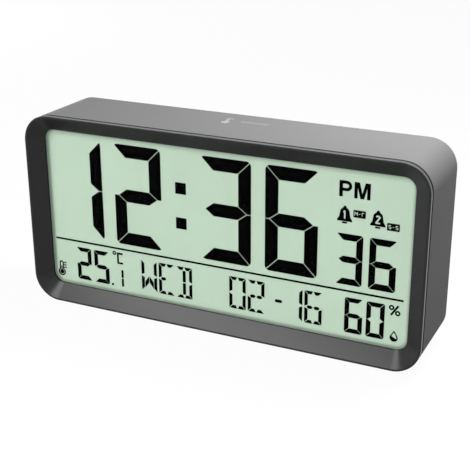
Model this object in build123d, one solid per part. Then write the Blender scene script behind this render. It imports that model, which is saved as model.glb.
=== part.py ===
from build123d import *
import os
from math import cos, pi, radians, sin, sqrt, tan

# Desk clock with a thermometer and a hygrometer: a shallow moulded case with a
# funnel-shaped bezel round a liquid crystal display, standing on four rubber feet.
# Millimetres. X runs to the right, Y to the back and Z up. The origin lies on the
# surface that the clock stands on, under the middle of the case.

# Case
case_width = 160.5
case_height = 76.5
corner_radius = 10.5
case_wall = 1.8
back_wall = 2.2
back_edge_fillet = 0.8
least_radius = 0.5
fillet_share = 0.45

# Front bezel
rim_depth = 1.7
rim_fillet = 0.2
groove_width = 1.2
groove_depth = 1.6
lip_width = 0.8
recess_depth = 4.4
bezel_margin = 6.2
aperture_radius = 4.5
aperture_wall = 0.7
skirt_clearance = 0.15
skirt_wall = 1.1
skirt_length = 9.1
snap_width = 8.0
snap_thickness = 1.2
snap_spread = 90.0
snap_end_margin = 2.2
snap_clearance = 0.15

# Display stack
window_thickness = 1.1
window_clearance = 0.15
segment_gap = 0.12
segment_thickness = 0.08
film_thickness = 0.2
glass_thickness = 1.1
glass_ledge = 2.8
glass_corner_gap = 0.2
glass_clearance = 0.15
guide_thickness = 3.0
guide_clearance = 0.2
lamp_board_thickness = 0.8
lamp_board_length = 48.0
lamp_count = 3
lamp_pitch = 16.0
lamp_length = 3.2
lamp_reach = 1.8
lamp_height = 2.0

# Display tray
tray_clearance = 0.2
tray_floor = 1.4
tray_wall_setback = 9.0
zebra_thickness = 2.0
zebra_length = 66.0
zebra_clearance = 0.2
standoff_height = 2.6
standoff_diameter = 5.0
standoff_inset = 7.0
tower_diameter = 6.0
tower_height = 4.8

# Main board
board_thickness = 1.6
board_gap = 2.5
blob_diameter = 13.0
blob_height = 1.3
crystal_diameter = 2.1
crystal_length = 6.0
crystal_offset = 9.0
capacitor_diameter = 5.0
capacitor_height = 6.5
capacitor_fillet = 0.5
capacitor_inset = 16.0

# Screws
screw_shank = 2.2
screw_head = 4.4
screw_head_height = 1.6
cross_length = 2.6
cross_width = 0.6
cross_depth = 0.7
screw_clearance = 0.1
screw_bite = 4.0
post_diameter = 7.2
post_gap = 0.2
post_inset = 13.0
counterbore_depth = 6.0
counterbore_clearance = 0.35
small_shank = 1.8
small_head = 3.4
small_head_height = 1.1
small_bite = 3.0
screw_tip_gap = 0.4

# Battery bay and cells
cell_diameter = 10.5
cell_length = 44.5
cell_nub_diameter = 3.8
cell_nub_length = 1.0
cell_fillet = 0.6
cell_count = 3
cell_pitch = 11.1
cell_gap = 0.4
bay_wall = 1.4
bay_rise = 9.0
bay_clearance = 2.2
contact_thickness = 0.4
contact_width = 8.6
tab_width = 4.0
tab_reach = 3.0
tab_clearance = 0.2
spring_length = 7.6
spring_wire = 0.5
spring_bend = 0.8
spring_base_radius = 3.6
spring_tip_radius = 2.0
spring_turns = 3

# Battery door
door_thickness = 1.6
door_lap = 1.5
door_gap = 0.2
door_corner = 2.0
tongue_width = 8.0
tongue_spread = 30.0
tongue_thickness = 1.2
tongue_reach = 2.6
tongue_gap = 0.3
latch_width = 10.0
latch_length = 8.0
latch_slot = 0.8
latch_tip_width = 6.0
latch_tip_reach = 1.2
scoop_width = 16.0
scoop_height = 5.0
scoop_depth = 1.1

# Keys
key_names = ["set_button", "mode_button", "up_button", "down_button", "alarm_button", "unit_button"]
key_pitch = 14.0
key_width = 9.5
key_height = 5.2
key_clearance = 0.2
key_fillet = 0.45
key_flange = 0.9
key_flange_thickness = 1.0
key_flange_gap = 0.1
key_recess = 1.0
key_recess_margin = 3.4
key_proud = 0.7
key_travel = 0.6
key_stop_gap = 0.3
plunger_diameter = 3.4
plunger_clearance = 0.15
plunger_depth = 1.5
switch_size = 6.0
switch_height = 3.5
key_board_thickness = 1.2
key_board_height = 12.0
key_boss_diameter = 5.0
key_board_lip = 1.0

# Link between the boards
link_pin_count = 8
link_pitch = 2.54
link_pin = 0.64
link_base_height = 2.5

# Buzzer
buzzer_diameter = 23.0
buzzer_thickness = 0.3
buzzer_ring_seat = 1.5
buzzer_ring_lip = 0.8
buzzer_ring_height = 3.5
ceramic_diameter = 15.0
ceramic_thickness = 0.25
sound_hole = 1.8
sound_hole_pitch = 4.0
sound_ring_count = 6

# Humidity and temperature sensors
sensor_board_width = 20.0
sensor_board_height = 15.0
sensor_board_thickness = 1.0
sensor_board_drop = 2.6
sensor_width = 11.0
sensor_height = 6.0
sensor_thickness = 2.0
slit_length = 7.6
slit_width = 0.6
slit_depth = 1.0
slit_pitch = 1.5
bead_diameter = 1.9
bead_offset = 5.0
peg_diameter = 1.5
peg_clearance = 0.1
peg_boss_diameter = 4.0
peg_inset = 2.4
peg_head = 0.5
vent_count = 6
vent_width = 1.6
vent_height = 16.0
vent_pitch = 3.2

# Touch switch under the top wall
foil_length = 46.0
foil_width = 13.0
foil_thickness = 0.2
foil_gap = 3.9
touch_leaf_width = 5.0
touch_leaf_thickness = 0.3
touch_leaf_foot = 5.0
touch_leaf_gap = 1.5

# Leads
lead_diameter = 1.2
lead_sway = 4.0
lead_pitch = 2.0
sensor_lead_count = 3
run_share = 0.45

# Feet
foot_diameter = 9.0
foot_proud = 0.8
foot_pocket = 0.6
foot_inset = 18.0
foot_setback = 7.0
foot_fillet = 0.3
foot_clearance = 0.1

# Display artwork, drawn from the middle of a view of this width and height
art_width = 148.0
art_height = 64.0
time_figure = dict(width=20.4, height=40.4, stroke=5.1, gap=0.25, tip=1.7, corner=2.0)
time_row = 9.0
time_places = {"1": -60.2, "2": -34.15, "3": 2.9, "6": 28.85}
seconds_figure = dict(width=9.85, height=19.25, stroke=2.45, gap=0.16, tip=0.9, corner=1.0)
seconds_row = -1.65
seconds_places = {"3": 50.95, "6": 63.15}
colon_size = 4.5
colon_x = -15.65
colon_heights = [15.25, 1.4]
reading_figure = dict(width=6.75, height=13.75, stroke=1.72, gap=0.14, tip=0.6, corner=0.7)
reading_row = -22.95
temperature_places = {"2": -60.25, "5": -52.1}
humidity_places = {"6": 53.35, "0": 61.5}
date_letter = dict(width=6.8, height=12.9, stroke=1.3, gap=0.22)
date_row = -22.8
day_places = {"W": -30.4, "E": -22.7, "D": -14.95}
date_places = {"0": 7.6, "2": 15.25, "1": 30.35, "6": 37.95}
dash_x = 24.3
dash_size = (2.9, 1.2)
rule_x = -0.9
rule_z = -13.6
rule_margin = 1.7
rule_thickness = 0.75
afternoon_place = (46.45, 21.4)
bell_places = [48.75, 60.75]
bell_row = 12.5
weekday_tag = (54.1, 15.8)
weekend_tag = (66.3, 12.95)
point_place = (-47.3, -29.4)
tenths_place = (-42.62, -26.05)
degree_place = (-45.95, -15.75)
celsius_place = (-43.3, -17.7)
thermometer_place = (-71.4, -28.25)
percent_place = (68.4, -17.75)
drop_place = (68.6, -28.35)

# Levels
case_bottom = foot_proud
case_top = case_bottom + case_height
case_middle = case_bottom + case_height / 2

# Depths behind the front edge. The case is as deep as its display, board and cells need.
housing_front = rim_depth + groove_width
skirt_end = housing_front + skirt_length
window_front = recess_depth + aperture_wall
window_back = window_front + window_thickness
segment_front = window_back + segment_gap
polariser_front = segment_front + segment_thickness
front_glass_front = polariser_front + film_thickness
rear_glass_front = front_glass_front + glass_thickness
rear_film_front = rear_glass_front + glass_thickness
guide_front = rear_film_front + film_thickness
reflector_front = guide_front + guide_thickness
tray_floor_front = reflector_front + film_thickness
tray_floor_back = tray_floor_front + tray_floor
board_front = tray_floor_back + standoff_height
board_back = board_front + board_thickness
tower_back = tray_floor_back + tower_height
bay_floor_front = board_back + bay_clearance
bay_floor_back = bay_floor_front + bay_wall
cell_axis = bay_floor_back + cell_gap + cell_diameter / 2
door_inner = cell_axis + cell_diameter / 2 + cell_gap
case_depth = door_inner + door_thickness
back_inner = case_depth - back_wall
key_flange_back = back_inner - key_flange_gap
key_flange_front = key_flange_back - key_flange_thickness
switch_back = key_flange_front - key_travel - key_stop_gap
key_board_back = switch_back - switch_height
key_board_front = key_board_back - key_board_thickness
buzzer_back = back_inner - buzzer_ring_height
buzzer_front = buzzer_back - buzzer_thickness
ceramic_front = buzzer_front - ceramic_thickness
sensor_board_back = back_inner - sensor_board_drop
sensor_board_front = sensor_board_back - sensor_board_thickness
screw_shoulder = case_depth - counterbore_depth

# Outlines
aperture_width = case_width - 2 * bezel_margin
aperture_height = case_height - 2 * bezel_margin
skirt_inset = case_wall + skirt_clearance
pocket_inset = skirt_inset + skirt_wall
window_inset = pocket_inset + window_clearance
tray_inset = pocket_inset + tray_clearance
# The glass is the largest square-cornered plate that clears the rounded pocket.
glass_inset = corner_radius - (corner_radius - pocket_inset - glass_corner_gap) / sqrt(2)
glass_width = case_width - 2 * glass_inset
glass_height = case_height - 2 * glass_inset
rear_glass_height = glass_height - 2 * glass_ledge
zebra_height = rear_glass_height / 2 + zebra_clearance + zebra_thickness / 2
lamp_space = lamp_board_thickness + lamp_reach
post_x = case_width / 2 - post_inset
post_z = case_height / 2 - post_inset
board_width = 2 * (post_x - post_diameter / 2 - board_gap)
board_height = glass_height
standoff_x = board_width / 2 - standoff_inset
standoff_z = board_height / 2 - standoff_inset - zebra_thickness

# Bay, keys and sensors on the back
bay_half = contact_thickness + (spring_length + cell_length) / 2
bay_outer_half = bay_half + bay_wall
bay_height = cell_count * cell_pitch + cell_gap
bay_low = case_bottom + bay_rise
bay_high = bay_low + bay_height
bay_middle = (bay_low + bay_high) / 2
door_low = bay_low - door_lap
door_high = bay_high + door_lap
hinge_depth = case_depth - door_thickness / 2
hinge_z = door_low + door_thickness / 2
key_row_z = (bay_high + bay_wall + case_top - case_wall) / 2
key_row_half = (len(key_names) - 1) * key_pitch / 2
key_boss_x = key_row_half + (key_width + key_boss_diameter) / 2 + key_flange + key_recess_margin
side_x = (bay_outer_half + case_width / 2 - case_wall) / 2
top_cell_z = bay_middle + (cell_count - 1) * cell_pitch / 2
cell_heights = [top_cell_z - row * cell_pitch for row in range(cell_count)]
art_scale = min(aperture_width / art_width, aperture_height / art_height)


def y_at(depth):
    """Y of a plane that lies this far behind the front edge of the case."""
    return depth - case_depth / 2


def plane_at(depth):
    """Upright plane at a depth, with X to the right and its own Y up."""
    return Plane.XZ.offset(-y_at(depth))


def slab(profile, near, far):
    """Flat profile in X and Z, carried back from one depth to another."""
    return extrude(plane_at(near) * profile, amount=far - near, dir=(0, 1, 0))


def block(left, right, near, far, low, high):
    """Rectangular block between two values of X, depth and Z."""
    middle = Pos((left + right) / 2, y_at((near + far) / 2), (low + high) / 2)
    return middle * Box(right - left, far - near, high - low)


def rod(x, z, diameter, near, far):
    """Round bar along Y between two depths."""
    return slab(Pos(x, z) * Circle(diameter / 2), near, far)


def outline(inset):
    """Front outline of the case, drawn in by an inset."""
    radius = max(corner_radius - inset, least_radius)
    return Pos(0, case_middle) * RectangleRounded(case_width - 2 * inset, case_height - 2 * inset, radius)


def panel(inset, near, far):
    """Plate that follows the case outline, drawn in by an inset."""
    return slab(outline(inset), near, far)


def sheet(width, height, near, far):
    """Square-cornered plate behind the middle of the display."""
    half = height / 2
    return block(-width / 2, width / 2, near, far, case_middle - half, case_middle + half)


def corners(x, z):
    """The four points of a rectangle about the middle of the case."""
    return [(side * x, case_middle + end * z) for side in (-1, 1) for end in (-1, 1)]


def group(solids):
    """Several separate solids that make one node."""
    return Compound(children=list(solids))


# Front bezel

def snap_blocks(width, near, far, outer_inset, inner_inset):
    """Six blocks where the tray snaps into the bezel skirt, four along the edges and two at the ends."""
    half = width / 2
    top_outer = case_height / 2 - outer_inset
    top_inner = case_height / 2 - inner_inset
    side_outer = case_width / 2 - outer_inset
    side_inner = case_width / 2 - inner_inset
    blocks = []
    for x in (-snap_spread / 2, snap_spread / 2):
        blocks.append(block(x - half, x + half, near, far, case_middle + top_inner, case_middle + top_outer))
        blocks.append(block(x - half, x + half, near, far, case_middle - top_outer, case_middle - top_inner))
    blocks.append(block(side_inner, side_outer, near, far, case_middle - half, case_middle + half))
    blocks.append(block(-side_outer, -side_inner, near, far, case_middle - half, case_middle + half))
    return blocks


def front_bezel():
    """Rim, shadow groove, funnel down to the display aperture, and the skirt inside the case."""
    rim = panel(0, 0, rim_depth)
    rim = fillet(rim.faces().sort_by(Axis.Y)[0].edges(), min(rim_fillet, fillet_share * lip_width))
    neck = panel(groove_depth, rim_depth, housing_front)
    skirt = panel(skirt_inset, housing_front, skirt_end)
    aperture = Pos(0, case_middle) * RectangleRounded(aperture_width, aperture_height, aperture_radius)
    funnel = loft([plane_at(0) * outline(lip_width), plane_at(recess_depth) * aperture], ruled=True)
    bezel = rim + neck + skirt - funnel
    bezel -= slab(aperture, recess_depth, window_front)
    bezel -= panel(pocket_inset, window_front, skirt_end)
    near = skirt_end - snap_end_margin - snap_thickness - snap_clearance
    far = skirt_end - snap_end_margin + snap_clearance
    bezel -= snap_blocks(snap_width + 2 * snap_clearance, near, far, skirt_inset, pocket_inset)
    return bezel


# Display stack

def display_window():
    """Clear plate behind the aperture."""
    return panel(window_inset, window_front, window_back)


def light_guide():
    """Clear plate that spreads the lamp light behind the glass."""
    left = -glass_width / 2 + lamp_space + guide_clearance
    half = rear_glass_height / 2 - guide_clearance
    right = glass_width / 2 - guide_clearance
    return block(left, right, guide_front, reflector_front, case_middle - half, case_middle + half)


def lamp_board():
    """Upright strip at the left end of the light guide."""
    left = -glass_width / 2
    half = lamp_board_length / 2
    right = left + lamp_board_thickness
    return block(left, right, guide_front, reflector_front, case_middle - half, case_middle + half)


def backlight_lamps():
    """Lamps on the strip, facing the end of the light guide."""
    left = -glass_width / 2 + lamp_board_thickness
    middle = (guide_front + reflector_front) / 2
    near = middle - lamp_height / 2
    lamps = []
    for number in range(lamp_count):
        z = case_middle + (number - (lamp_count - 1) / 2) * lamp_pitch
        low = z - lamp_length / 2
        lamps.append(block(left, left + lamp_reach, near, near + lamp_height, low, low + lamp_length))
    return group(lamps)


def zebra_strips():
    """Rubber contact strips from the ledges of the front glass back to the main board."""
    half = zebra_thickness / 2
    long_half = zebra_length / 2
    strips = []
    for z in (case_middle - zebra_height, case_middle + zebra_height):
        strips.append(block(-long_half, long_half, rear_glass_front, board_front, z - half, z + half))
    return group(strips)


def display_tray():
    """Frame behind the window that holds the glass, the light guide and the main board."""
    tray = panel(tray_inset, tray_floor_front, tray_floor_back)
    inner = glass_inset - glass_clearance
    top_outer = case_height / 2 - tray_inset
    top_inner = case_height / 2 - inner
    side_outer = case_width / 2 - tray_inset
    side_inner = case_width / 2 - inner
    reach = glass_width / 2 - tray_wall_setback
    rise = glass_height / 2 - tray_wall_setback
    near = window_back
    far = tray_floor_front
    tray += block(-reach, reach, near, far, case_middle + top_inner, case_middle + top_outer)
    tray += block(-reach, reach, near, far, case_middle - top_outer, case_middle - top_inner)
    tray += block(side_inner, side_outer, near, far, case_middle - rise, case_middle + rise)
    tray += block(-side_outer, -side_inner, near, far, case_middle - rise, case_middle + rise)
    snap_near = skirt_end - snap_end_margin - snap_thickness
    snap_far = skirt_end - snap_end_margin
    tray += snap_blocks(snap_width, snap_near, snap_far, skirt_inset + snap_clearance, inner)
    for x, z in corners(standoff_x, standoff_z):
        tray += rod(x, z, standoff_diameter, tray_floor_back, board_front)
        hole = small_shank + 2 * screw_clearance
        tray -= rod(x, z, hole, board_front - small_bite - screw_tip_gap, board_front)
    for x, z in corners(post_x, post_z):
        tray += rod(x, z, tower_diameter, tray_floor_back, tower_back)
        hole = screw_shank + 2 * screw_clearance
        tray -= rod(x, z, hole, tower_back - screw_bite - screw_tip_gap, tower_back)
    half = zebra_thickness / 2 + zebra_clearance
    long_half = zebra_length / 2 + zebra_clearance
    for z in (case_middle - zebra_height, case_middle + zebra_height):
        tray -= block(-long_half, long_half, tray_floor_front, tray_floor_back, z - half, z + half)
    return tray


# Display artwork

def mitre(half_width, stroke, tip, gap, side):
    """Slope and one point of the line beside the joint of the middle bar and an upright bar."""
    across = stroke - tip
    length = sqrt((stroke / 2) ** 2 + across ** 2)
    x = half_width - tip + side * gap / 2 * (stroke / 2) / length
    z = side * gap / 2 * across / length
    slope = -stroke / (2 * across)
    return x, z, slope


def figure_bars(width, height, stroke, gap, tip):
    """Corner points of the seven bars of a figure, about its middle."""
    w = width / 2
    h = height / 2
    slip = gap / sqrt(2)
    x, z, slope = mitre(w, stroke, tip, gap, 1)
    inner_z = z + slope * (w - stroke - x)
    flat_x = x + (gap / 2 - z) / slope
    upright = [(w, h - slip), (w, gap / 2), (flat_x, gap / 2)]
    upright += [(w - stroke, inner_z), (w - stroke, h - stroke - slip)]
    x, z, slope = mitre(w, stroke, tip, gap, -1)
    point_x = x - z / slope
    shoulder_x = x + (stroke / 2 - z) / slope
    level = [(-w + slip, h), (w - slip, h), (w - stroke - slip, h - stroke), (stroke + slip - w, h - stroke)]
    upper = [(point_x, 0), (shoulder_x, stroke / 2), (-shoulder_x, stroke / 2), (-point_x, 0)]
    lower = [(-shoulder_x, -stroke / 2), (shoulder_x, -stroke / 2)]
    return {
        "a": level,
        "b": upright,
        "c": [(x, -z) for x, z in upright],
        "d": [(x, -z) for x, z in level],
        "e": [(-x, -z) for x, z in upright],
        "f": [(-x, z) for x, z in upright],
        "g": upper + lower,
    }


lit_bars = {"0": "abcdef", "1": "bc", "2": "abged", "3": "abgcd", "5": "afgcd", "6": "afgedc"}


def figure(text, x, z, width, height, stroke, gap, tip, corner):
    """Bars of one large figure, with the outer corners rounded."""
    bars = figure_bars(width, height, stroke, gap, tip)
    frame = RectangleRounded(width, height, corner)
    return [Pos(x, z) * (Polygon(*bars[name]) & frame) for name in lit_bars[text]]


def letter_bars(width, height, stroke, gap):
    """Corner points of the bars of a letter cell whose level bars come in two halves."""
    w = width / 2
    h = height / 2
    slip = gap / sqrt(2)
    edge = gap / 2
    half_stroke = stroke / 2
    top = [(-w + slip, h), (-edge, h), (-edge - half_stroke, h - stroke), (stroke + slip - w, h - stroke)]
    upright = [(-w, h - slip), (-w, gap), (stroke - w, gap + half_stroke), (stroke - w, h - stroke - slip)]
    middle = [
        (half_stroke + slip - w, 0),
        (stroke + slip - w, half_stroke),
        (-edge - half_stroke, half_stroke),
        (-edge, 0),
        (-edge - half_stroke, -half_stroke),
        (stroke + slip - w, -half_stroke),
    ]
    pillar_top = h - stroke - gap
    pillar = [(-half_stroke, gap), (half_stroke, gap), (half_stroke, pillar_top), (-half_stroke, pillar_top)]
    foot_x = stroke + gap - w
    leg = [(-edge, -gap), (-edge, -gap - 2 * stroke), (foot_x, -h + stroke), (foot_x, -h + 3 * stroke)]
    bars = {"top": top, "upper": upright, "mid": middle}
    shapes = {"pillar_up": pillar, "pillar_down": [(x, -z) for x, z in pillar]}
    shapes["leg_left"] = leg
    shapes["leg_right"] = [(-x, z) for x, z in leg]
    for name, points in bars.items():
        shapes[name + "_left"] = points
        shapes[name + "_right"] = [(-x, z) for x, z in points]
    for side in ("left", "right"):
        shapes["base_" + side] = [(x, -z) for x, z in shapes["top_" + side]]
        shapes["lower_" + side] = [(x, -z) for x, z in shapes["upper_" + side]]
    return shapes


top_bars = ["top_left", "top_right"]
base_bars = ["base_left", "base_right"]
mid_bars = ["mid_left", "mid_right"]
left_bars = ["upper_left", "lower_left"]
right_bars = ["upper_right", "lower_right"]
lit_letter_bars = {
    "W": left_bars + right_bars + ["leg_left", "leg_right"],
    "E": top_bars + base_bars + left_bars + ["mid_left"],
    "D": top_bars + base_bars + right_bars + ["pillar_up", "pillar_down"],
    "0": top_bars + base_bars + left_bars + right_bars,
    "1": right_bars,
    "2": top_bars + base_bars + mid_bars + ["upper_right", "lower_left"],
    "6": top_bars + base_bars + mid_bars + left_bars + ["lower_right"],
}


def letter(text, x, z, width, height, stroke, gap):
    """Bars of one letter or date figure."""
    shapes = letter_bars(width, height, stroke, gap)
    return [Pos(x, z) * Polygon(*shapes[name]) for name in lit_letter_bars[text]]


def line(x_from, z_from, x_to, z_to, width):
    """Straight stroke of a set width."""
    long_x = x_to - x_from
    long_z = z_to - z_from
    length = sqrt(long_x ** 2 + long_z ** 2)
    off_x = -long_z / length * width / 2
    off_z = long_x / length * width / 2
    points = [(x_from + off_x, z_from + off_z), (x_to + off_x, z_to + off_z)]
    points += [(x_to - off_x, z_to - off_z), (x_from - off_x, z_from - off_z)]
    return Polygon(*points)


def strokes(points, width):
    """Joined strokes through a list of points, with round corners."""
    shape = Sketch()
    for start, end in zip(points, points[1:]):
        shape += line(*start, *end, width)
    for x, z in points[1:-1]:
        shape += Pos(x, z) * Circle(width / 2)
    return shape


def time_figures():
    """Hours, minutes, seconds and the colon."""
    faces = []
    for text, x in time_places.items():
        faces += figure(text, x, time_row, **time_figure)
    for text, x in seconds_places.items():
        faces += figure(text, x, seconds_row, **seconds_figure)
    for z in colon_heights:
        faces.append(Pos(colon_x, z) * Rectangle(colon_size, colon_size))
    return faces


def afternoon_letters():
    """The letters P and M beside the time."""
    tall = 5.85
    stem = 1.3
    bowl = 1.875
    hole = 0.75
    p_width = 4.6
    m_width = 5.8
    m_left = 5.45
    bowl_x = p_width - bowl
    bowl_z = tall - bowl
    p_shape = Pos(stem / 2, tall / 2) * Rectangle(stem, tall)
    p_shape += Pos(bowl_x / 2, bowl_z) * Rectangle(bowl_x, 2 * bowl)
    p_shape += Pos(bowl_x, bowl_z) * Circle(bowl)
    p_shape -= Pos((stem + bowl_x) / 2, bowl_z) * Rectangle(bowl_x - stem, 2 * hole)
    p_shape -= Pos(bowl_x, bowl_z) * Circle(hole)
    left_half = [(0, 0), (1.2, 0), (1.2, 3.9), (2.25, 0)]
    right_half = [(m_width - x, z) for x, z in reversed(left_half)]
    top = [(m_width, tall), (m_width - 1.85, tall), (m_width / 2, 1.9), (1.85, tall), (0, tall)]
    m_shape = Pos(m_left, 0) * Polygon(*left_half, *right_half, *top)
    return [Pos(*afternoon_place) * shape for shape in (p_shape, m_shape)]


def bell(x, numeral):
    """Alarm bell with its number left clear."""
    side = [(2.75, 0), (2.75, 0.5), (2.05, 1.6), (1.75, 3.3)]
    body = Polygon(*side, *[(-a, z) for a, z in reversed(side)])
    body += Pos(0, 3.3) * Circle(1.75)
    body += Pos(0, 5.1) * Circle(0.6)
    body -= Pos(0, 2.35) * strokes(numeral, 0.55)
    clapper = Pos(0, -0.5) * RectangleRounded(1.9, 0.65, 0.25)
    return [Pos(x, bell_row) * body, Pos(x, bell_row) * clapper]


def tag(place, first, second):
    """Dark tag that leaves two letters and a hyphen clear."""
    plate = RectangleRounded(4.5, 2.7, 0.3)
    plate -= Pos(-1.25, 0) * strokes(first, 0.26)
    plate -= line(-0.3, 0, 0.3, 0, 0.26)
    plate -= Pos(1.25, 0) * strokes(second, 0.26)
    return [Pos(*place) * plate]


def alarm_marks():
    """Two alarm bells, and the tags that say on which days they ring."""
    one = [(-0.5, 0.9), (0, 1.4), (0, -1.4)]
    two = [(-0.7, 1.0), (0, 1.35), (0.7, 0.9), (-0.7, -1.25), (0.8, -1.25)]
    letter_m = [(-0.5, -0.7), (-0.5, 0.65), (0, 0), (0.5, 0.65), (0.5, -0.7)]
    letter_f = [(-0.35, -0.7), (-0.35, 0.6), (0.4, 0.6)]
    letter_s = [(0.4, 0.6), (-0.35, 0.6), (-0.35, 0), (0.35, 0), (0.35, -0.6), (-0.4, -0.6)]
    faces = bell(bell_places[0], one) + bell(bell_places[1], two)
    faces += tag(weekday_tag, letter_m, letter_f)
    faces += tag(weekend_tag, letter_s, letter_s)
    return faces


def temperature_marks():
    """Temperature with its tenths, the degree sign and a small thermometer."""
    faces = []
    for text, x in temperature_places.items():
        faces += figure(text, x, reading_row, **reading_figure)
    faces.append(Pos(*point_place) * Rectangle(0.9, 0.9))
    for z in (-1.875, 1.8):
        faces.append(Pos(*tenths_place) * Pos(0, z) * Rectangle(0.95, 3.3))
    faces.append(Pos(*degree_place) * (Circle(0.85) - Circle(0.35)))
    letter_c = [(1.15, 2.0), (-1.1, 2.0), (-1.1, -2.05), (1.15, -2.05)]
    faces.append(Pos(*celsius_place) * strokes(letter_c, 0.8))
    return faces + thermometer_sign()


def thermometer_sign():
    """Outline of a thermometer with its column and three marks beside it."""
    stem = Pos(0, 2.05)
    outer = stem * SlotOverall(5.6, 2.0, rotation=90) + Circle(1.7)
    inner = stem * SlotOverall(4.4, 0.9, rotation=90) + Circle(1.15)
    column = Circle(0.95) + Pos(0, 1.4) * Rectangle(0.45, 2.4)
    marks = [Pos(1.7, z) * Rectangle(1.1, 0.5) for z in (2.05, 3.1, 4.15)]
    return [Pos(*thermometer_place) * shape for shape in [outer - inner, column] + marks]


def humidity_marks():
    """Humidity, the percent sign and a half-filled drop."""
    faces = []
    for text, x in humidity_places.items():
        faces += figure(text, x, reading_row, **reading_figure)
    faces.append(Pos(*percent_place) * line(-1.3, -1.95, 1.3, 1.95, 0.75))
    for x, z in ((-1.15, 0.95), (1.15, -0.95)):
        faces.append(Pos(*percent_place) * Pos(x, z) * (Circle(1.0) - Circle(0.4)))
    drop = Circle(1.5) + Polygon((-1.3, 0.75), (1.3, 0.75), (0, 2.85))
    hollow = Circle(1.0) + Polygon((-0.85, 0.8), (0.85, 0.8), (0, 2.05))
    air = Polygon((-2, 1.0), (2, -0.8), (2, 4), (-2, 4))
    faces.append(Pos(*drop_place) * (drop - (hollow & air)))
    return faces


def date_marks():
    """Weekday, the date with its dash, and the line above the lower row."""
    faces = []
    for text, x in (day_places | date_places).items():
        faces += letter(text, x, date_row, **date_letter)
    faces.append(Pos(dash_x, date_row) * SlotOverall(*dash_size))
    faces.append(Pos(rule_x, rule_z) * Rectangle(art_width - 2 * rule_margin, rule_thickness))
    return faces


def lcd_segments():
    """Every dark mark of the display, as thin plates on its front film."""
    faces = time_figures() + afternoon_letters() + alarm_marks()
    faces += temperature_marks() + humidity_marks() + date_marks()
    plates = []
    for face in faces:
        profile = Pos(0, case_middle) * scale(face, by=art_scale, about=(0, 0, 0))
        plates += slab(profile, segment_front, polariser_front).solids()
    return group(plates)


# Main board and what it carries

def main_board():
    """Circuit board on the back of the tray, with a hole for each of its screws."""
    board = sheet(board_width, board_height, board_front, board_back)
    for x, z in corners(standoff_x, standoff_z):
        board -= rod(x, z, small_shank + 2 * screw_clearance, board_front, board_back)
    return board


def controller_blob():
    """Domed drop of resin over the clock chip."""
    half = blob_diameter / 2
    radius = (half ** 2 + blob_height ** 2) / (2 * blob_height)
    ball = Pos(0, y_at(board_back + blob_height - radius), bay_middle) * Sphere(radius)
    return ball & rod(0, bay_middle, 2 * blob_diameter, board_back, board_back + blob_height)


def quartz_crystal():
    """Small round can that lies on the board beside the bay."""
    x = bay_outer_half + crystal_offset
    centre = Pos(x, y_at(board_back + crystal_diameter / 2), bay_middle)
    return centre * Cylinder(crystal_diameter / 2, crystal_length)


def board_capacitor():
    """Round capacitor that stands on the board."""
    x = capacitor_inset - board_width / 2
    can = rod(x, bay_low, capacitor_diameter, board_back, board_back + capacitor_height)
    return fillet(can.faces().sort_by(Axis.Y)[-1].edges(), capacitor_fillet)


def small_screw(x, z, seat, way):
    """Board screw whose head sits on a seat depth. Its shank runs towards the front or the back."""
    reach = board_thickness if way < 0 else key_board_thickness
    tip = seat + way * (reach + small_bite)
    top = seat - way * small_head_height
    screw = rod(x, z, small_head, min(seat, top), max(seat, top))
    return screw + rod(x, z, small_shank, min(seat, tip), max(seat, tip))


def board_screws():
    """Four screws that hold the main board to the tray."""
    return group(small_screw(x, z, board_back, -1) for x, z in corners(standoff_x, standoff_z))


def link_header():
    """Pin strip that joins the main board to the key board."""
    half = link_pin_count * link_pitch / 2
    base_half = link_pitch / 2
    base_back = board_back + link_base_height
    base = block(-half, half, board_back, base_back, key_row_z - base_half, key_row_z + base_half)
    for number in range(link_pin_count):
        x = (number - (link_pin_count - 1) / 2) * link_pitch
        base += slab(Pos(x, key_row_z) * Rectangle(link_pin, link_pin), board_back, key_board_front)
    return base


# Keys

def key_x(number):
    """Place of a key along the row."""
    return number * key_pitch - key_row_half


def key_cap(number):
    """Rounded key with the flange that keeps it inside the case."""
    place = Pos(key_x(number), key_row_z)
    top = case_depth - key_recess + key_proud
    cap = slab(place * SlotOverall(key_width, key_height), key_flange_back, top)
    cap = fillet(cap.faces().sort_by(Axis.Y)[-1].edges(), key_fillet)
    flange = SlotOverall(key_width + 2 * key_flange, key_height + 2 * key_flange)
    return cap + slab(place * flange, key_flange_front, key_flange_back)


def key_plunger(number):
    """Switch plunger that moves with a key."""
    return rod(key_x(number), key_row_z, plunger_diameter, switch_back - plunger_depth, key_flange_front)


def key_switches():
    """Switch bodies on the key board, bored for their plungers."""
    half = switch_size / 2
    floor = switch_back - plunger_depth - key_travel - key_stop_gap
    bodies = []
    for number in range(len(key_names)):
        x = key_x(number)
        body = block(x - half, x + half, key_board_back, switch_back, key_row_z - half, key_row_z + half)
        bore = plunger_diameter + 2 * plunger_clearance
        bodies.append(body - rod(x, key_row_z, bore, floor, switch_back))
    return group(bodies)


def key_boss_points():
    """Middles of the two bosses that carry the key board."""
    return [(-key_boss_x, key_row_z), (key_boss_x, key_row_z)]


def key_board():
    """Long narrow circuit board behind the keys."""
    reach = key_boss_x + key_boss_diameter / 2 + key_board_lip
    half = key_board_height / 2
    board = block(-reach, reach, key_board_front, key_board_back, key_row_z - half, key_row_z + half)
    for x, z in key_boss_points():
        board -= rod(x, z, small_shank + 2 * screw_clearance, key_board_front, key_board_back)
    return board


def key_board_screws():
    """Two screws that hold the key board to its bosses."""
    return group(small_screw(x, z, key_board_front, 1) for x, z in key_boss_points())


# Rear housing

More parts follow.
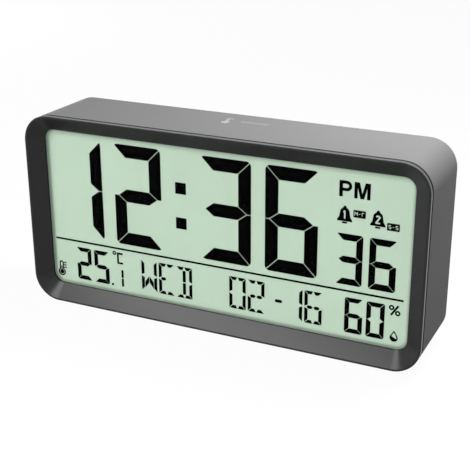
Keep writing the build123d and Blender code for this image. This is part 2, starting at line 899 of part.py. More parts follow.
def door_profile(margin):
    """Outline of the battery door, square at its foot, or of its seat with a margin all round."""
    width = 2 * (bay_half + door_lap + margin)
    height = bay_height + 2 * (door_lap + margin)
    rounded = Pos(0, bay_middle) * RectangleRounded(width, height, door_corner + margin)
    return rounded + Pos(0, bay_middle - height / 4) * Rectangle(width, height / 2)


def notch_depth():
    """Depth that the tips of the door tongues swing to, with room to spare."""
    tongue_front = back_inner - tongue_gap - tongue_thickness
    swing = sqrt((hinge_z - door_low + tongue_reach) ** 2 + (hinge_depth - tongue_front) ** 2)
    return hinge_depth - swing - tongue_gap


def tongue_places():
    """Middles of the two door tongues along the lower edge."""
    return [-tongue_spread / 2, tongue_spread / 2]


def cut_battery_bay(shell):
    """Bay with its door seat, tongue notches, latch notch, finger scoop and contact slots."""
    bay = block(-bay_half, bay_half, bay_floor_back, case_depth, bay_low, bay_high)
    shell -= bay
    shell -= slab(door_profile(door_gap), door_inner, case_depth)
    half = tongue_width / 2 + tongue_gap
    for x in tongue_places():
        shell -= block(x - half, x + half, notch_depth(), door_inner, door_low - door_gap, bay_low)
    tip_half = latch_tip_width / 2 + tongue_gap
    tip_top = door_high + latch_tip_reach + tongue_gap
    shell -= block(-tip_half, tip_half, door_inner, case_depth, bay_high, tip_top)
    scoop_z = door_high + door_gap + scoop_height / 2
    scoop = Pos(0, scoop_z) * SlotOverall(scoop_width, scoop_height)
    shell -= slab(scoop, case_depth - scoop_depth, case_depth)
    slot_half = tab_width / 2 + tab_clearance
    near = cell_axis - contact_thickness / 2 - tab_clearance
    far = cell_axis + contact_thickness / 2 + tab_clearance
    right_z = cell_heights[-1]
    left_z = cell_heights[0]
    shell -= block(bay_half, bay_outer_half, near, far, right_z - slot_half, right_z + slot_half)
    shell -= block(-bay_outer_half, -bay_half, near, far, left_z - slot_half, left_z + slot_half)
    return shell


def cut_key_row(shell):
    """Shallow recess for the key row, and a hole for each key."""
    width = 2 * key_row_half + key_width + 2 * key_recess_margin
    height = key_height + 2 * key_recess_margin
    floor = case_depth - key_recess
    shell -= slab(Pos(0, key_row_z) * RectangleRounded(width, height, key_recess_margin), floor, case_depth)
    hole = SlotOverall(key_width + 2 * key_clearance, key_height + 2 * key_clearance)
    for number in range(len(key_names)):
        shell -= slab(Pos(key_x(number), key_row_z) * hole, back_inner, floor)
    return shell


def cut_vents(shell):
    """Sound holes in front of the buzzer and slots beside the humidity sensor."""
    shell -= rod(-side_x, bay_middle, sound_hole, back_inner, case_depth)
    for number in range(sound_ring_count):
        turn = 2 * pi * number / sound_ring_count
        x = sound_hole_pitch * cos(turn) - side_x
        z = bay_middle + sound_hole_pitch * sin(turn)
        shell -= rod(x, z, sound_hole, back_inner, case_depth)
    for number in range(vent_count):
        x = side_x + (number - (vent_count - 1) / 2) * vent_pitch
        slot = Pos(x, bay_middle) * SlotOverall(vent_height, vent_width, rotation=90)
        shell -= slab(slot, back_inner, case_depth)
    return shell


def foot_points():
    """Middles of the four feet, in X and depth."""
    x = case_width / 2 - foot_inset
    depths = [housing_front + foot_setback, case_depth - foot_setback]
    return [(side * x, depth) for side in (-1, 1) for depth in depths]


def sensor_pegs():
    """Middles of the two pegs that carry the sensor board."""
    reach = sensor_board_width / 2 - peg_inset
    drop = sensor_board_height / 2 - peg_inset
    return [(side_x - reach, bay_middle - drop), (side_x + reach, bay_middle + drop)]


def rear_housing():
    """Moulded rear case with the battery bay, posts, bosses and vents."""
    shell = panel(0, housing_front, case_depth)
    shell = fillet(shell.faces().sort_by(Axis.Y)[-1].edges(), min(back_edge_fillet, fillet_share * back_wall))
    shell -= panel(case_wall, housing_front, back_inner)
    low = bay_low - bay_wall
    high = bay_high + bay_wall
    shell += block(-bay_outer_half, bay_outer_half, bay_floor_front, back_inner, low, high)
    shell += rod(-side_x, bay_middle, buzzer_diameter + 2 * buzzer_ring_lip, buzzer_back, back_inner)
    shell -= rod(-side_x, bay_middle, buzzer_diameter - 2 * buzzer_ring_seat, buzzer_back, back_inner)
    shell = cut_battery_bay(shell)
    shell = cut_key_row(shell)
    shell = cut_vents(shell)
    for x, z in corners(post_x, post_z):
        shell += rod(x, z, post_diameter, tower_back + post_gap, back_inner)
        shell -= rod(x, z, screw_shank + 2 * screw_clearance, tower_back + post_gap, screw_shoulder)
        shell -= rod(x, z, screw_head + 2 * counterbore_clearance, screw_shoulder, case_depth)
    hole = small_shank + 2 * screw_clearance
    for x, z in key_boss_points():
        shell += rod(x, z, key_boss_diameter, key_board_back, back_inner)
        shell -= rod(x, z, hole, key_board_back, key_board_back + small_bite + screw_tip_gap)
    for x, z in sensor_pegs():
        shell += rod(x, z, peg_boss_diameter, sensor_board_back, back_inner)
        shell += rod(x, z, peg_diameter, sensor_board_front - peg_head, sensor_board_back)
    for x, depth in foot_points():
        pocket = Cylinder(foot_diameter / 2 + foot_clearance, 2 * foot_pocket)
        shell -= Pos(x, y_at(depth), case_bottom) * pocket
    return shell


def case_screws():
    """Four long screws in the deep holes of the back."""
    screws = []
    for x, z in corners(post_x, post_z):
        head_back = screw_shoulder + screw_head_height
        screw = rod(x, z, screw_head, screw_shoulder, head_back)
        screw += rod(x, z, screw_shank, tower_back - screw_bite, screw_shoulder)
        cross = Rectangle(cross_length, cross_width) + Rectangle(cross_width, cross_length)
        screw -= slab(Pos(x, z) * cross, head_back - cross_depth, head_back)
        screws.append(screw)
    return group(screws)


def rubber_feet():
    """Four round pads set into the underside."""
    feet = []
    for x, depth in foot_points():
        height = foot_proud + foot_pocket
        pad = Pos(x, y_at(depth), height / 2) * Cylinder(foot_diameter / 2, height)
        feet.append(fillet(pad.faces().sort_by(Axis.Z)[0].edges(), foot_fillet))
    return group(feet)


# Battery door, cells and contacts

def battery_door():
    """Door with a round lower edge, two tongues behind the wall and a latch at the top."""
    door = slab(door_profile(0), door_inner, case_depth)
    half = bay_half + door_lap
    nose = door_thickness / 2
    door -= block(-half, half, door_inner, case_depth, door_low, hinge_z)
    door += Pos(0, y_at(hinge_depth), hinge_z) * Rot(0, 90, 0) * Cylinder(nose, 2 * half)
    tongue_back = back_inner - tongue_gap
    tongue_front = tongue_back - tongue_thickness
    leg_top = hinge_z + tongue_gap
    for x in tongue_places():
        left = x - tongue_width / 2
        right = x + tongue_width / 2
        door += block(left, right, tongue_front, hinge_depth, leg_top - tongue_thickness, leg_top)
        door += block(left, right, tongue_front, tongue_back, door_low - tongue_reach, leg_top)
    for side in (-1, 1):
        x = side * latch_width / 2
        slot_half = latch_slot / 2
        low = door_high - latch_length
        door -= block(x - slot_half, x + slot_half, door_inner, case_depth, low, door_high)
    tip_half = latch_tip_width / 2
    tip_back = door_inner + door_thickness / 2
    tip_low = door_high - tongue_thickness
    door += block(-tip_half, tip_half, door_inner, tip_back, tip_low, door_high + latch_tip_reach)
    return door


def cell_side(row):
    """Side of the bay where a cell's raised end lies: right for even rows, left for odd ones."""
    return 1 if row % 2 == 0 else -1


def battery_cells():
    """Three cells, laid one above another and turned end for end."""
    cells = []
    for row, z in enumerate(cell_heights):
        side = cell_side(row)
        body_length = cell_length - cell_nub_length
        body = fillet(Cylinder(cell_diameter / 2, body_length).edges(), cell_fillet)
        nub = Pos(0, 0, cell_length / 2) * Cylinder(cell_nub_diameter / 2, cell_nub_length)
        tip = bay_half - contact_thickness
        middle = side * (tip - cell_nub_length - body_length / 2)
        cells.append(Pos(middle, y_at(cell_axis), z) * Rot(0, side * 90, 0) * (body + nub))
    return group(cells)


def contact_plate(side, low, high):
    """Plate against a side wall of the bay."""
    near = cell_axis - contact_width / 2
    inner = side * (bay_half - contact_thickness)
    outer = side * bay_half
    return block(min(inner, outer), max(inner, outer), near, near + contact_width, low, high)


def contact_tab(side, z):
    """Solder tab that passes through the side wall."""
    inner = side * (bay_half - contact_thickness)
    outer = side * (bay_outer_half + tab_reach)
    near = cell_axis - contact_thickness / 2
    low = z - tab_width / 2
    return block(min(inner, outer), max(inner, outer), near, near + contact_thickness, low, low + tab_width)


def battery_contacts():
    """Two end plates with solder tabs, and two plates that bridge neighbouring cells."""
    half = contact_width / 2
    top, middle, bottom = cell_heights[0], cell_heights[1], cell_heights[-1]
    minus_end = contact_plate(-1, top - half, top + half) + contact_tab(-1, top)
    plus_end = contact_plate(1, bottom - half, bottom + half) + contact_tab(1, bottom)
    left_bridge = contact_plate(-1, bottom - half, middle + half)
    right_bridge = contact_plate(1, middle - half, top + half)
    return group([minus_end, plus_end, left_bridge, right_bridge])


def biarc(start, start_way, end, end_way):
    """Two tangent arcs from one point and direction to another."""
    span = end - start
    turn = 1 - start_way.dot(end_way)
    along = span.dot(start_way + end_way)
    reach = (sqrt(along ** 2 + 2 * turn * span.dot(span)) - along) / (2 * turn)
    knee = (start + end + (start_way - end_way) * reach) * 0.5
    first = TangentArc(start, knee, tangent=start_way)
    second = TangentArc(knee, end, tangent=first % 1)
    return [first, second]


def spring_point(turn, climb):
    """Point of the winding about the X axis, after a number of turns, at a height on its axis."""
    share = turn / spring_turns
    radius = spring_base_radius + share * (spring_tip_radius - spring_base_radius)
    angle = 2 * pi * turn
    return Vector(climb, radius * cos(angle), radius * sin(angle))


def spring_path():
    """Centre line of a conical battery spring: a straight end, its turns and a straight tip."""
    low = spring_wire + spring_bend
    high = spring_length - spring_wire - spring_bend
    steps = 4 * spring_turns
    nudge = 0.001
    axial = Vector(1, 0, 0)
    root = spring_point(0, 0)
    path = [Line(root, root + axial * spring_wire)]
    point = root + axial * spring_wire
    way = axial
    for step in range(1, steps):
        turn = step / 4
        climb = low + (high - low) * (step - 1) / (steps - 2)
        target = spring_point(turn, climb)
        ahead = spring_point(turn + nudge, climb + (high - low) * 4 * nudge / (steps - 2))
        target_way = (ahead - target).normalized()
        path += biarc(point, way, target, target_way)
        point = target
        way = target_way
    tip = spring_point(spring_turns, spring_length - spring_wire)
    path += biarc(point, way, tip, axial)
    path.append(Line(tip, tip + axial * spring_wire))
    return path


def least_gap(path, wire):
    """Least gap between turns of a winding, measured on points along its centre line."""
    points = []
    travelled = 0.0
    for edge in path:
        samples = 6
        for number in range(samples):
            points.append((travelled + edge.length * number / samples, edge @ (number / samples)))
        travelled += edge.length
    apart = 4 * wire
    gaps = [(b - a).length for i, (s, a) in enumerate(points) for t, b in points[i + 1:] if t - s > apart]
    return min(gaps) - wire


def battery_springs():
    """Conical springs at the flat ends of the cells."""
    path = spring_path()
    print("least gap between spring turns", round(least_gap(path, spring_wire), 2))
    start = Plane(origin=path[0] @ 0, z_dir=path[0] % 0)
    spring = sweep(start * Circle(spring_wire / 2), path=Wire(path))
    seat = bay_half - contact_thickness
    springs = []
    for row, z in enumerate(cell_heights):
        side = cell_side(row)
        turned = spring if side > 0 else Rot(0, 0, 180) * spring
        springs.append(Pos(-side * seat, y_at(cell_axis), z) * turned)
    return group(springs)


# Buzzer, sensors and touch switch

def buzzer_disc():
    """Brass disc of the buzzer, seated on its ring."""
    return rod(-side_x, bay_middle, buzzer_diameter, buzzer_front, buzzer_back)


def buzzer_ceramic():
    """Ceramic disc on the brass one."""
    return rod(-side_x, bay_middle, ceramic_diameter, ceramic_front, buzzer_front)


def sensor_board():
    """Small circuit board on two pegs behind the vents."""
    half = sensor_board_height / 2
    left = side_x - sensor_board_width / 2
    right = left + sensor_board_width
    board = block(left, right, sensor_board_front, sensor_board_back, bay_middle - half, bay_middle + half)
    for x, z in sensor_pegs():
        board -= rod(x, z, peg_diameter + 2 * peg_clearance, sensor_board_front, sensor_board_back)
    return board


def humidity_sensor():
    """Flat sensor that faces the vent slots, open at three slits."""
    half = sensor_width / 2
    rise = sensor_height / 2
    back = sensor_board_back + sensor_thickness
    body = block(side_x - half, side_x + half, sensor_board_back, back, bay_middle - rise, bay_middle + rise)
    for z in (-slit_pitch, 0, slit_pitch):
        slit = Pos(side_x, bay_middle + z) * SlotOverall(slit_length, slit_width)
        body -= slab(slit, back - slit_depth, back)
    return body


def thermistor_bead():
    """Bead that senses the air temperature, on the sensor board."""
    z = bay_middle + bead_offset
    radius = bead_diameter / 2
    stub = rod(side_x, z, radius, sensor_board_back, sensor_board_back + radius)
    return stub + Pos(side_x, y_at(sensor_board_back + radius), z) * Sphere(radius)


def touch_foil():
    """Copper foil under the top wall, which senses a hand through the plastic."""
    half = foil_length / 2
    near = skirt_end + foil_gap
    high = case_top - case_wall
    return block(-half, half, near, near + foil_width, high - foil_thickness, high)


def touch_leaf():
    """Bent leaf spring from the main board, beside the pin strip, up to the foil."""
    left = link_pin_count * link_pitch / 2 + touch_leaf_gap
    right = left + touch_leaf_width
    high = case_top - case_wall - foil_thickness
    low = case_middle + board_height / 2 - touch_leaf_foot
    arm_back = skirt_end + foil_gap + foil_width / 2
    leg = block(left, right, board_back, board_back + touch_leaf_thickness, low, high)
    return leg + block(left, right, board_back, arm_back, high - touch_leaf_thickness, high)


# Leads

def lead(points):
    """Insulated wire along straight runs joined by arcs as large as the runs allow."""
    spots = [Vector(x, y_at(depth), z) for x, depth, z in points]
    radii = []
    for before, here, after in zip(spots, spots[1:], spots[2:]):
        half_turn = radians((here - before).get_angle(after - here) / 2)
        run = min((here - before).length, (after - here).length)
        radii.append(run_share * run / tan(half_turn))
    print("lead radii", [round(radius, 2) for radius in radii])
    path = FilletPolyline(*spots, radius=radii)
    start = Plane(origin=path @ 0, z_dir=path % 0)
    return sweep(start * Circle(lead_diameter / 2), path=path)


def battery_lead(side, z):
    """Lead from a solder tab of the bay to the main board, half way to the board screws."""
    tab_end = bay_outer_half + tab_reach
    x = side * tab_end
    bend = side * (tab_end + standoff_x) / 2
    return lead([(x, cell_axis, z), (bend, cell_axis, z), (bend, board_back, z)])


def swaying_lead(x, z, near):
    """Slack lead from a piece on the back wall straight down to the main board."""
    run = (near - board_back) / 3
    far_x = x + lead_sway
    return lead([(x, near, z), (x, near - run, z), (far_x, near - 2 * run, z), (far_x, board_back, z)])


def red_leads():
    """Plus leads of the battery and the buzzer."""
    return group([battery_lead(1, cell_heights[-1]), swaying_lead(-side_x, bay_middle, ceramic_front)])


def black_leads():
    """Minus leads of the battery and the buzzer."""
    rim = bay_middle - (buzzer_diameter + ceramic_diameter) / 4
    return group([battery_lead(-1, cell_heights[0]), swaying_lead(-side_x, rim, buzzer_front)])


def sensor_leads():
    """Leads from the sensor board to the main board."""
    leads = []
    for number in range(sensor_lead_count):
        z = bay_middle + (number - (sensor_lead_count - 1) / 2) * lead_pitch
        leads.append(swaying_lead(side_x, z, sensor_board_front))
    return group(leads)


pieces = {
    "front_bezel": front_bezel(),
    "display_window": display_window(),
    "lcd_segments": lcd_segments(),
    "front_polariser": sheet(glass_width, glass_height, polariser_front, front_glass_front),
    "lcd_front_glass": sheet(glass_width, glass_height, front_glass_front, rear_glass_front),
    "lcd_rear_glass": sheet(glass_width, rear_glass_height, rear_glass_front, rear_film_front),
    "rear_polariser": sheet(glass_width, rear_glass_height, rear_film_front, guide_front),
    "light_guide": light_guide(),
    "reflector_sheet": sheet(glass_width, rear_glass_height, reflector_front, tray_floor_front),
    "lamp_board": lamp_board(),
    "backlight_lamps": backlight_lamps(),
    "zebra_strips": zebra_strips(),
    "display_tray": display_tray(),
    "main_board": main_board(),
    "controller_blob": controller_blob(),
    "quartz_crystal": quartz_crystal(),
    "board_capacitor": board_capacitor(),
    "board_screws": board_screws(),
    "link_header": link_header(),
    "key_board": key_board(),
    "key_board_screws": key_board_screws(),
    "key_switches": key_switches(),
    "rear_housing": rear_housing(),
    "case_screws": case_screws(),
    "rubber_feet": rubber_feet(),
    "battery_door": battery_door(),
    "battery_cells": battery_cells(),
    "battery_contacts": battery_contacts(),
    "battery_springs": battery_springs(),
    "buzzer_disc": buzzer_disc(),
    "buzzer_ceramic": buzzer_ceramic(),
    "sensor_board": sensor_board(),
    "humidity_sensor": humidity_sensor(),
    "thermistor_bead": thermistor_bead(),
    "touch_foil": touch_foil(),
    "touch_leaf": touch_leaf(),
    "red_leads": red_leads(),
    "black_leads": black_leads(),
    "sensor_leads": sensor_leads(),
}
for number, name in enumerate(key_names):
    pieces[name] = key_cap(number)
    pieces[name.replace("_button", "_plunger")] = key_plunger(number)

os.makedirs("parts", exist_ok=True)
for name, piece in pieces.items():
    export_step(piece, f"parts/{name}.step")
print(len(pieces), "pieces")
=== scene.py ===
"""Desk clock with a thermometer and a hygrometer: its finishes, printed marks and studio stage."""
import math

import bmesh
import bpy
from bpy.props import (
    FloatProperty, FloatVectorProperty, IntProperty, PointerProperty, StringProperty)
from mathutils import Matrix, Vector


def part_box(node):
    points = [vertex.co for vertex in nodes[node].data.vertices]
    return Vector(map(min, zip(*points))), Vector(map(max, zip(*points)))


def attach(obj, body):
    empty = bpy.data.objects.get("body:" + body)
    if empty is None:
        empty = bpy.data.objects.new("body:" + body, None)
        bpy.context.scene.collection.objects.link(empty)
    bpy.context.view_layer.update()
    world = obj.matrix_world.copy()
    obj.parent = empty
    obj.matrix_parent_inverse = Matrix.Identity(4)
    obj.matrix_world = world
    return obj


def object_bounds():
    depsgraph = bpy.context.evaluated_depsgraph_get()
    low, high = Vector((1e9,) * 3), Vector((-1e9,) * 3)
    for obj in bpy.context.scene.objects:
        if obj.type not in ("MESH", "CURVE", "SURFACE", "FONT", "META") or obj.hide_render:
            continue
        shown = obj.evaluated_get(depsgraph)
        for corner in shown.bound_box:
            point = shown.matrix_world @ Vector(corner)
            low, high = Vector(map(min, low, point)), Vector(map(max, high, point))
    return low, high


bl_info = {
    "name": "Desk clock finishes",
    "version": (1, 0, 0),
    "blender": (4, 5, 0),
    "location": "3D View > Sidebar > Clock",
    "description": "Dresses the desk clock with its plastics, display, prints and studio stage",
    "category": "Object",
}

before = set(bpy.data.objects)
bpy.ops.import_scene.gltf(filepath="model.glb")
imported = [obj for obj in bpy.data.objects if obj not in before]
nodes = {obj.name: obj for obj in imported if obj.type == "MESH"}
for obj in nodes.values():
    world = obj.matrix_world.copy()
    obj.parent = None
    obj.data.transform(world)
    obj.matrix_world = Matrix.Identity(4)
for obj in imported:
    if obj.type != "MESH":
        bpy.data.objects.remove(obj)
cad_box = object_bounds()

# Lengths are in metres and colours are linear, here and in the tables below.
WHITE = (1.0, 1.0, 1.0, 1.0)
BLACK = (0.0, 0.0, 0.0, 1.0)
BARE_METAL = (0.55, 0.55, 0.56, 1.0)
ORIGIN = (0.0, 0.0, 0.0)
X_AND_Z = (1.0, 0.0, 1.0)

# Grain: the part of a noise's range that gives the tone, the soft edge of a mask, and the usual
# sizes of pits and streaks.
TONE_RANGE = (0.3, 0.7)
SOFT_EDGE = 0.00003
FINE_PIT = 0.0003
CLEAR_PIT = 0.002
CLEAR_VARY = 0.02
PLAIN_DEPTH = 0.00001
STREAK_WIDTH = 0.00015
STREAK_DEPTH = 0.000004
METAL_VARY = 0.06

# Case: how many times shallower the bezel's grain is, and the painted shade, nearly black, on the
# wall behind its funnel.
BEZEL_SMOOTHNESS = 3
WALL_SHADE = (0.006, 0.006, 0.006, 1.0)

# Display: the middle of the field with the painted edge shade against that of its film, half its
# size, its corners and patches.
FACE_SHIFT = (-0.0003, 0.0, -0.0002)
FACE_HALF = (0.0740, 0.0, 0.0320)
FACE_CORNER = 0.0045
FACE_PATCH = 0.05
FACE_TONE = 0.01
WINDOW_TINT = (0.99, 1.0, 0.99)

# Rubber contact strips: the pitch of the layers, how soft a layer's edge is, and the two colours.
STRIP_PITCH = 0.00018
STRIP_SOFT = 0.3
STRIP_PINK = (0.42, 0.20, 0.22, 1.0)
STRIP_BLACK = (0.02, 0.02, 0.02, 1.0)

# Circuit boards: tracks under the lacquer, and the weave of the board.
TRACK_PITCH = 0.004
TRACK_DEPTH = 0.00003
TRACK_LIGHT = 1.9
WEAVE_SCALE = 2200.0
WEAVE_SHARE = 0.1
LACQUER_SHARES = (0.85, 1.1)

# Capacitor: its sleeve, the stripe of the minus side, and the bare top.
SLEEVE_DARK = (0.006, 0.010, 0.030, 1.0)
SLEEVE_LIGHT = (0.008, 0.013, 0.038, 1.0)
STRIPE_GREY = (0.45, 0.47, 0.50, 1.0)
STRIPE_WIDTH = 0.0007
BARE_TOP = 0.0002

# Cells: their size, the raised end, the rim where the jacket starts, the band and its plus sign.
CELL_LENGTH = 0.0445
CELL_DIAMETER = 0.0105
CELL_NUB = 0.00125
RIM_START = 0.0002
RIM_END = 0.00025
CELL_TONE = 0.06
BAND_DROP = 0.0062
BAND_HALF = 0.0032
SIGN_HALF = 0.0015
SIGN_THIN = 0.0004
SIGN_BLACK = (0.01, 0.01, 0.01, 1.0)
SPRING_SHARE = 0.94

# Solder joints: their colour, the crown's radius as a share of the width, and the tree's inputs.
SOLDER_TIN = (0.52, 0.52, 0.53)
SOLDER_CROWN = 0.2
SOLDER_INPUTS = (
    ("Count", "NodeSocketInt"), ("Pitch", "NodeSocketFloat"), ("Width", "NodeSocketFloat"),
    ("Height", "NodeSocketFloat"), ("Place", "NodeSocketVector"), ("Finish", "NodeSocketMaterial"),
)

# Keys on the back, and the words below them. The keys up and down have arrows.
KEYS = ("set", "mode", "up", "down", "alarm", "unit")
LEGENDS = {"set": "SET", "mode": "MODE", "alarm": "ALARM", "unit": "\u00b0C/\u00b0F"}

# Prints: how far they are let in and stand proud, which way is right and up on the top and on the
# back, the places on the top, and an arrow with its size and drop on the door.
PRINT_DEPTH = 0.00005
PRINT_RISE = 0.000008
SAME_POINT = 1e-7
FROM_ABOVE = ((1.0, 0.0, 0.0), (0.0, 1.0, 0.0))
FROM_BEHIND = ((-1.0, 0.0, 0.0), (0.0, 0.0, 1.0))
HAND_PLACE = (-0.0047, 0.0063)
WORD_PLACE = (0.0062, 0.0068)
ARROW = ((-0.5, -0.4), (0.5, -0.4), (0.0, 0.45))
DOOR_ARROW_SIZE = 0.004
DOOR_ARROW_DROP = 0.009

# Touch mark, in sixths of its height: the finger tip, the hand below it, and the rings round it as
# outer and inner radius, first and last angle in degrees, and steps.
MARK_UNITS = 6.0
TIP = (0.0, 1.4)
TIP_RADIUS = 0.42
TIP_STEPS = 8
HAND = [
    (-0.42, -1.55), (-0.85, -1.0), (-1.2, -0.95), (-1.3, -1.3), (-0.55, -2.5), (-0.4, -3.0),
    (1.1, -3.0), (1.25, -2.4), (1.45, -1.6), (1.45, -0.75), (1.2, -0.5), (0.95, -0.6),
    (0.85, -0.4), (0.6, -0.45), (0.42, -0.3),
]
RINGS = ((1.05, 0.8, 10.0, 170.0, 14), (1.6, 1.35, 25.0, 155.0, 16))

# Plastics: name, colour, roughness, size and depth of the pits, and pieces.
DISPLAY_PLASTICS = (
    ("film_grey", (0.26, 0.30, 0.27), 0.3, FINE_PIT, 0.000002, ("rear_polariser",)),
    ("reflector_white", (0.82, 0.82, 0.80), 0.65, FINE_PIT, 0.000003, ("reflector_sheet",)),
    ("tray_plastic", (0.68, 0.68, 0.64), 0.5, 0.0005, PLAIN_DEPTH, ("display_tray",)),
    ("lamp_white", (0.82, 0.82, 0.68), 0.25, 0.0004, PLAIN_DEPTH, ("backlight_lamps",)),
)
BOARD_PLASTICS = (
    ("chip_resin", (0.006, 0.006, 0.006), 0.22, 0.0015, PLAIN_DEPTH, ("controller_blob",)),
    ("header_black", (0.008, 0.008, 0.008), 0.4, FINE_PIT, PLAIN_DEPTH, ("link_header",)),
    ("switch_black", (0.009, 0.009, 0.009), 0.42, FINE_PIT, PLAIN_DEPTH, ("key_switches",)),
    ("plunger_white", (0.60, 0.60, 0.57), 0.4, FINE_PIT, PLAIN_DEPTH,
     tuple(key + "_plunger" for key in KEYS)),
)
LEAD_PLASTICS = (
    ("red_sleeve", (0.32, 0.008, 0.008), 0.36, FINE_PIT, 0.000004, ("red_leads",)),
    ("black_sleeve", (0.010, 0.010, 0.010), 0.36, FINE_PIT, 0.000004, ("black_leads",)),
    ("sensor_sleeve", (0.18, 0.18, 0.19), 0.36, FINE_PIT, 0.000004, ("sensor_leads",)),
)
FITTING_PLASTICS = (
    ("buzzer_white", (0.71, 0.69, 0.60), 0.6, 0.0002, PLAIN_DEPTH, ("buzzer_ceramic",)),
    ("sensor_white", (0.72, 0.76, 0.76), 0.45, FINE_PIT, PLAIN_DEPTH, ("humidity_sensor",)),
    ("bead_resin", (0.010, 0.010, 0.011), 0.2, 0.0008, PLAIN_DEPTH, ("thermistor_bead",)),
)

# Metals: name, colour, roughness and pieces.
BOARD_METALS = (
    ("crystal_can", (0.57, 0.57, 0.56), 0.25, ("quartz_crystal",)),
    ("screw_steel", (0.34, 0.34, 0.35), 0.35, ("board_screws", "key_board_screws", "case_screws")),
)
FITTING_METALS = (
    ("buzzer_brass", (0.54, 0.32, 0.06), 0.35, ("buzzer_disc",)),
    ("copper_foil", (0.57, 0.19, 0.08), 0.35, ("touch_foil",)),
)

# Clear pieces behind the window: name, colour, refractive index, roughness and pieces.
DISPLAY_CLEARS = (
    ("lcd_glass", (0.88, 0.95, 0.91), 1.45, 0.0, ("lcd_front_glass", "lcd_rear_glass")),
    ("guide_clear", (0.95, 0.98, 0.96), 1.49, 0.05, ("light_guide",)),
)

# Stage: the camera's sensor in millimetres and near limit, the floor, and its colours for light
# that it sends on and for what is seen of it.
SENSOR_WIDTH = 36.0
NEAR_LIMIT = 0.01
FLOOR_HALF = 6.0
FLOOR_GRAIN = 4.0
FLOOR_DARK = (0.055, 0.055, 0.055, 1.0)
FLOOR_LIGHT = (0.065, 0.065, 0.065, 1.0)
FLOOR_SEEN = (0.9, 0.9, 0.9, 1.0)

# Lamps: name, place, point that it faces, width and height, and power in watts.
LAMPS = (
    ("lamp_key", (-0.42, -0.735, 0.80), (0.0, 0.0, 0.04), (0.60, 0.12), 6.0),
    ("lamp_top_right", (0.35, -0.03, 0.70), (0.10, -0.01, 0.05), (0.3, 0.16), 0.55),
    ("lamp_near", (0.11, 0.08, 0.26), (0.05, 0.0, 0.05), (0.12, 0.12), 1.12),
    ("lamp_back", (-0.20, 0.80, 0.85), (0.0, 0.0, 0.05), (0.6, 0.6), 1.0),
    ("lamp_left", (-0.75, 0.42, 0.14), (-0.08, 0.0, 0.04), (0.4, 0.2), 3.0),
)


def opaque(colour):
    """Colour with full alpha, as node sockets take it."""
    return (colour[0], colour[1], colour[2], 1.0)


def shaded(colour, share):
    """Colour made darker or lighter by a share."""
    return tuple(min(1.0, part * share) for part in colour)


class Recipe:
    """Adds nodes to a tree. Inputs go by name or number, as values or as sockets to link."""

    def __init__(self, tree):
        self.tree = tree

    def add(self, kind, inputs=None, **settings):
        """New node with its settings and inputs."""
        made = self.tree.nodes.new(kind)
        for key, value in settings.items():
            setattr(made, key, value)
        for key, value in (inputs or {}).items():
            self.feed(made.inputs[key], value)
        return made

    def feed(self, socket, value):
        """Links another socket to this one, or sets its value."""
        if isinstance(value, bpy.types.NodeSocket):
            self.tree.links.new(value, socket)
        else:
            socket.default_value = value

    def find(self, kind):
        """The first node of a type."""
        return next(node for node in self.tree.nodes if node.type == kind)

    def math(self, operation, *values):
        """Result of a sum on numbers."""
        inputs = dict(enumerate(values))
        return self.add("ShaderNodeMath", inputs, operation=operation).outputs[0]

    def vector(self, operation, *values):
        """Result of a sum on vectors, which is a number where it is a length."""
        made = self.add("ShaderNodeVectorMath", dict(enumerate(values)), operation=operation)
        return made.outputs["Value" if operation == "LENGTH" else "Vector"]

    def combine(self, x=0.0, y=0.0, z=0.0):
        """Vector of three parts."""
        return self.add("ShaderNodeCombineXYZ", {0: x, 1: y, 2: z}).outputs[0]

    def axes(self, vector):
        """The three parts of a vector."""
        return self.add("ShaderNodeSeparateXYZ", {0: vector}).outputs

    def place(self):
        """Object coordinates."""
        return self.add("ShaderNodeTexCoord").outputs["Object"]

    def noise(self, place, scale, detail=2.0):
        """Value of a noise at a place."""
        inputs = {"Vector": place, "Scale": scale, "Detail": detail}
        return self.add("ShaderNodeTexNoise", inputs).outputs[0]

    def spread(self, value, low, high, to_low=0.0, to_high=1.0, smooth=False):
        """Maps a value from one range to another."""
        inputs = {0: value, 1: low, 2: high, 3: to_low, 4: to_high}
        kind = "SMOOTHSTEP" if smooth else "LINEAR"
        return self.add("ShaderNodeMapRange", inputs, interpolation_type=kind).outputs[0]

    def between(self, mask, low, high):
        """Value that goes from low to high as a mask goes from 0 to 1."""
        return self.spread(mask, 0.0, 1.0, low, high)

    def past(self, value, limit):
        """Mask that is 1 where a length lies beyond a limit."""
        return self.spread(value, limit - SOFT_EDGE, limit + SOFT_EDGE)

    def within(self, value, middle, half):
        """Mask that is 1 where a length lies near a middle."""
        away = self.math("ABSOLUTE", self.math("SUBTRACT", value, middle))
        return self.spread(away, half - SOFT_EDGE, half + SOFT_EDGE, 1.0, 0.0)

    def blend(self, share, first, second):
        """Mixes two colours."""
        made = self.add("ShaderNodeMix", data_type="RGBA")
        sockets = [socket for socket in made.inputs if socket.enabled]
        for socket, value in zip(sockets, (share, first, second)):
            self.feed(socket, value)
        return next(socket for socket in made.outputs if socket.enabled)

    def mottle(self, mask, colour, low, high):
        """Colour that goes from a low share of itself to a high one as a mask goes from 0 to 1."""
        return self.blend(mask, opaque(shaded(colour, low)), opaque(shaded(colour, high)))


def shader_group(name, inputs, outputs):
    """Empty shader node group with named sockets."""
    tree = bpy.data.node_groups.new(name, "ShaderNodeTree")
    for label, default in inputs:
        kind = "NodeSocketVector" if isinstance(default, tuple) else "NodeSocketFloat"
        tree.interface.new_socket(label, in_out="INPUT", socket_type=kind).default_value = default
    for label in outputs:
        tree.interface.new_socket(label, in_out="OUTPUT", socket_type="NodeSocketFloat")
    recipe = Recipe(tree)
    return recipe, recipe.add("NodeGroupInput").outputs, recipe.add("NodeGroupOutput").inputs


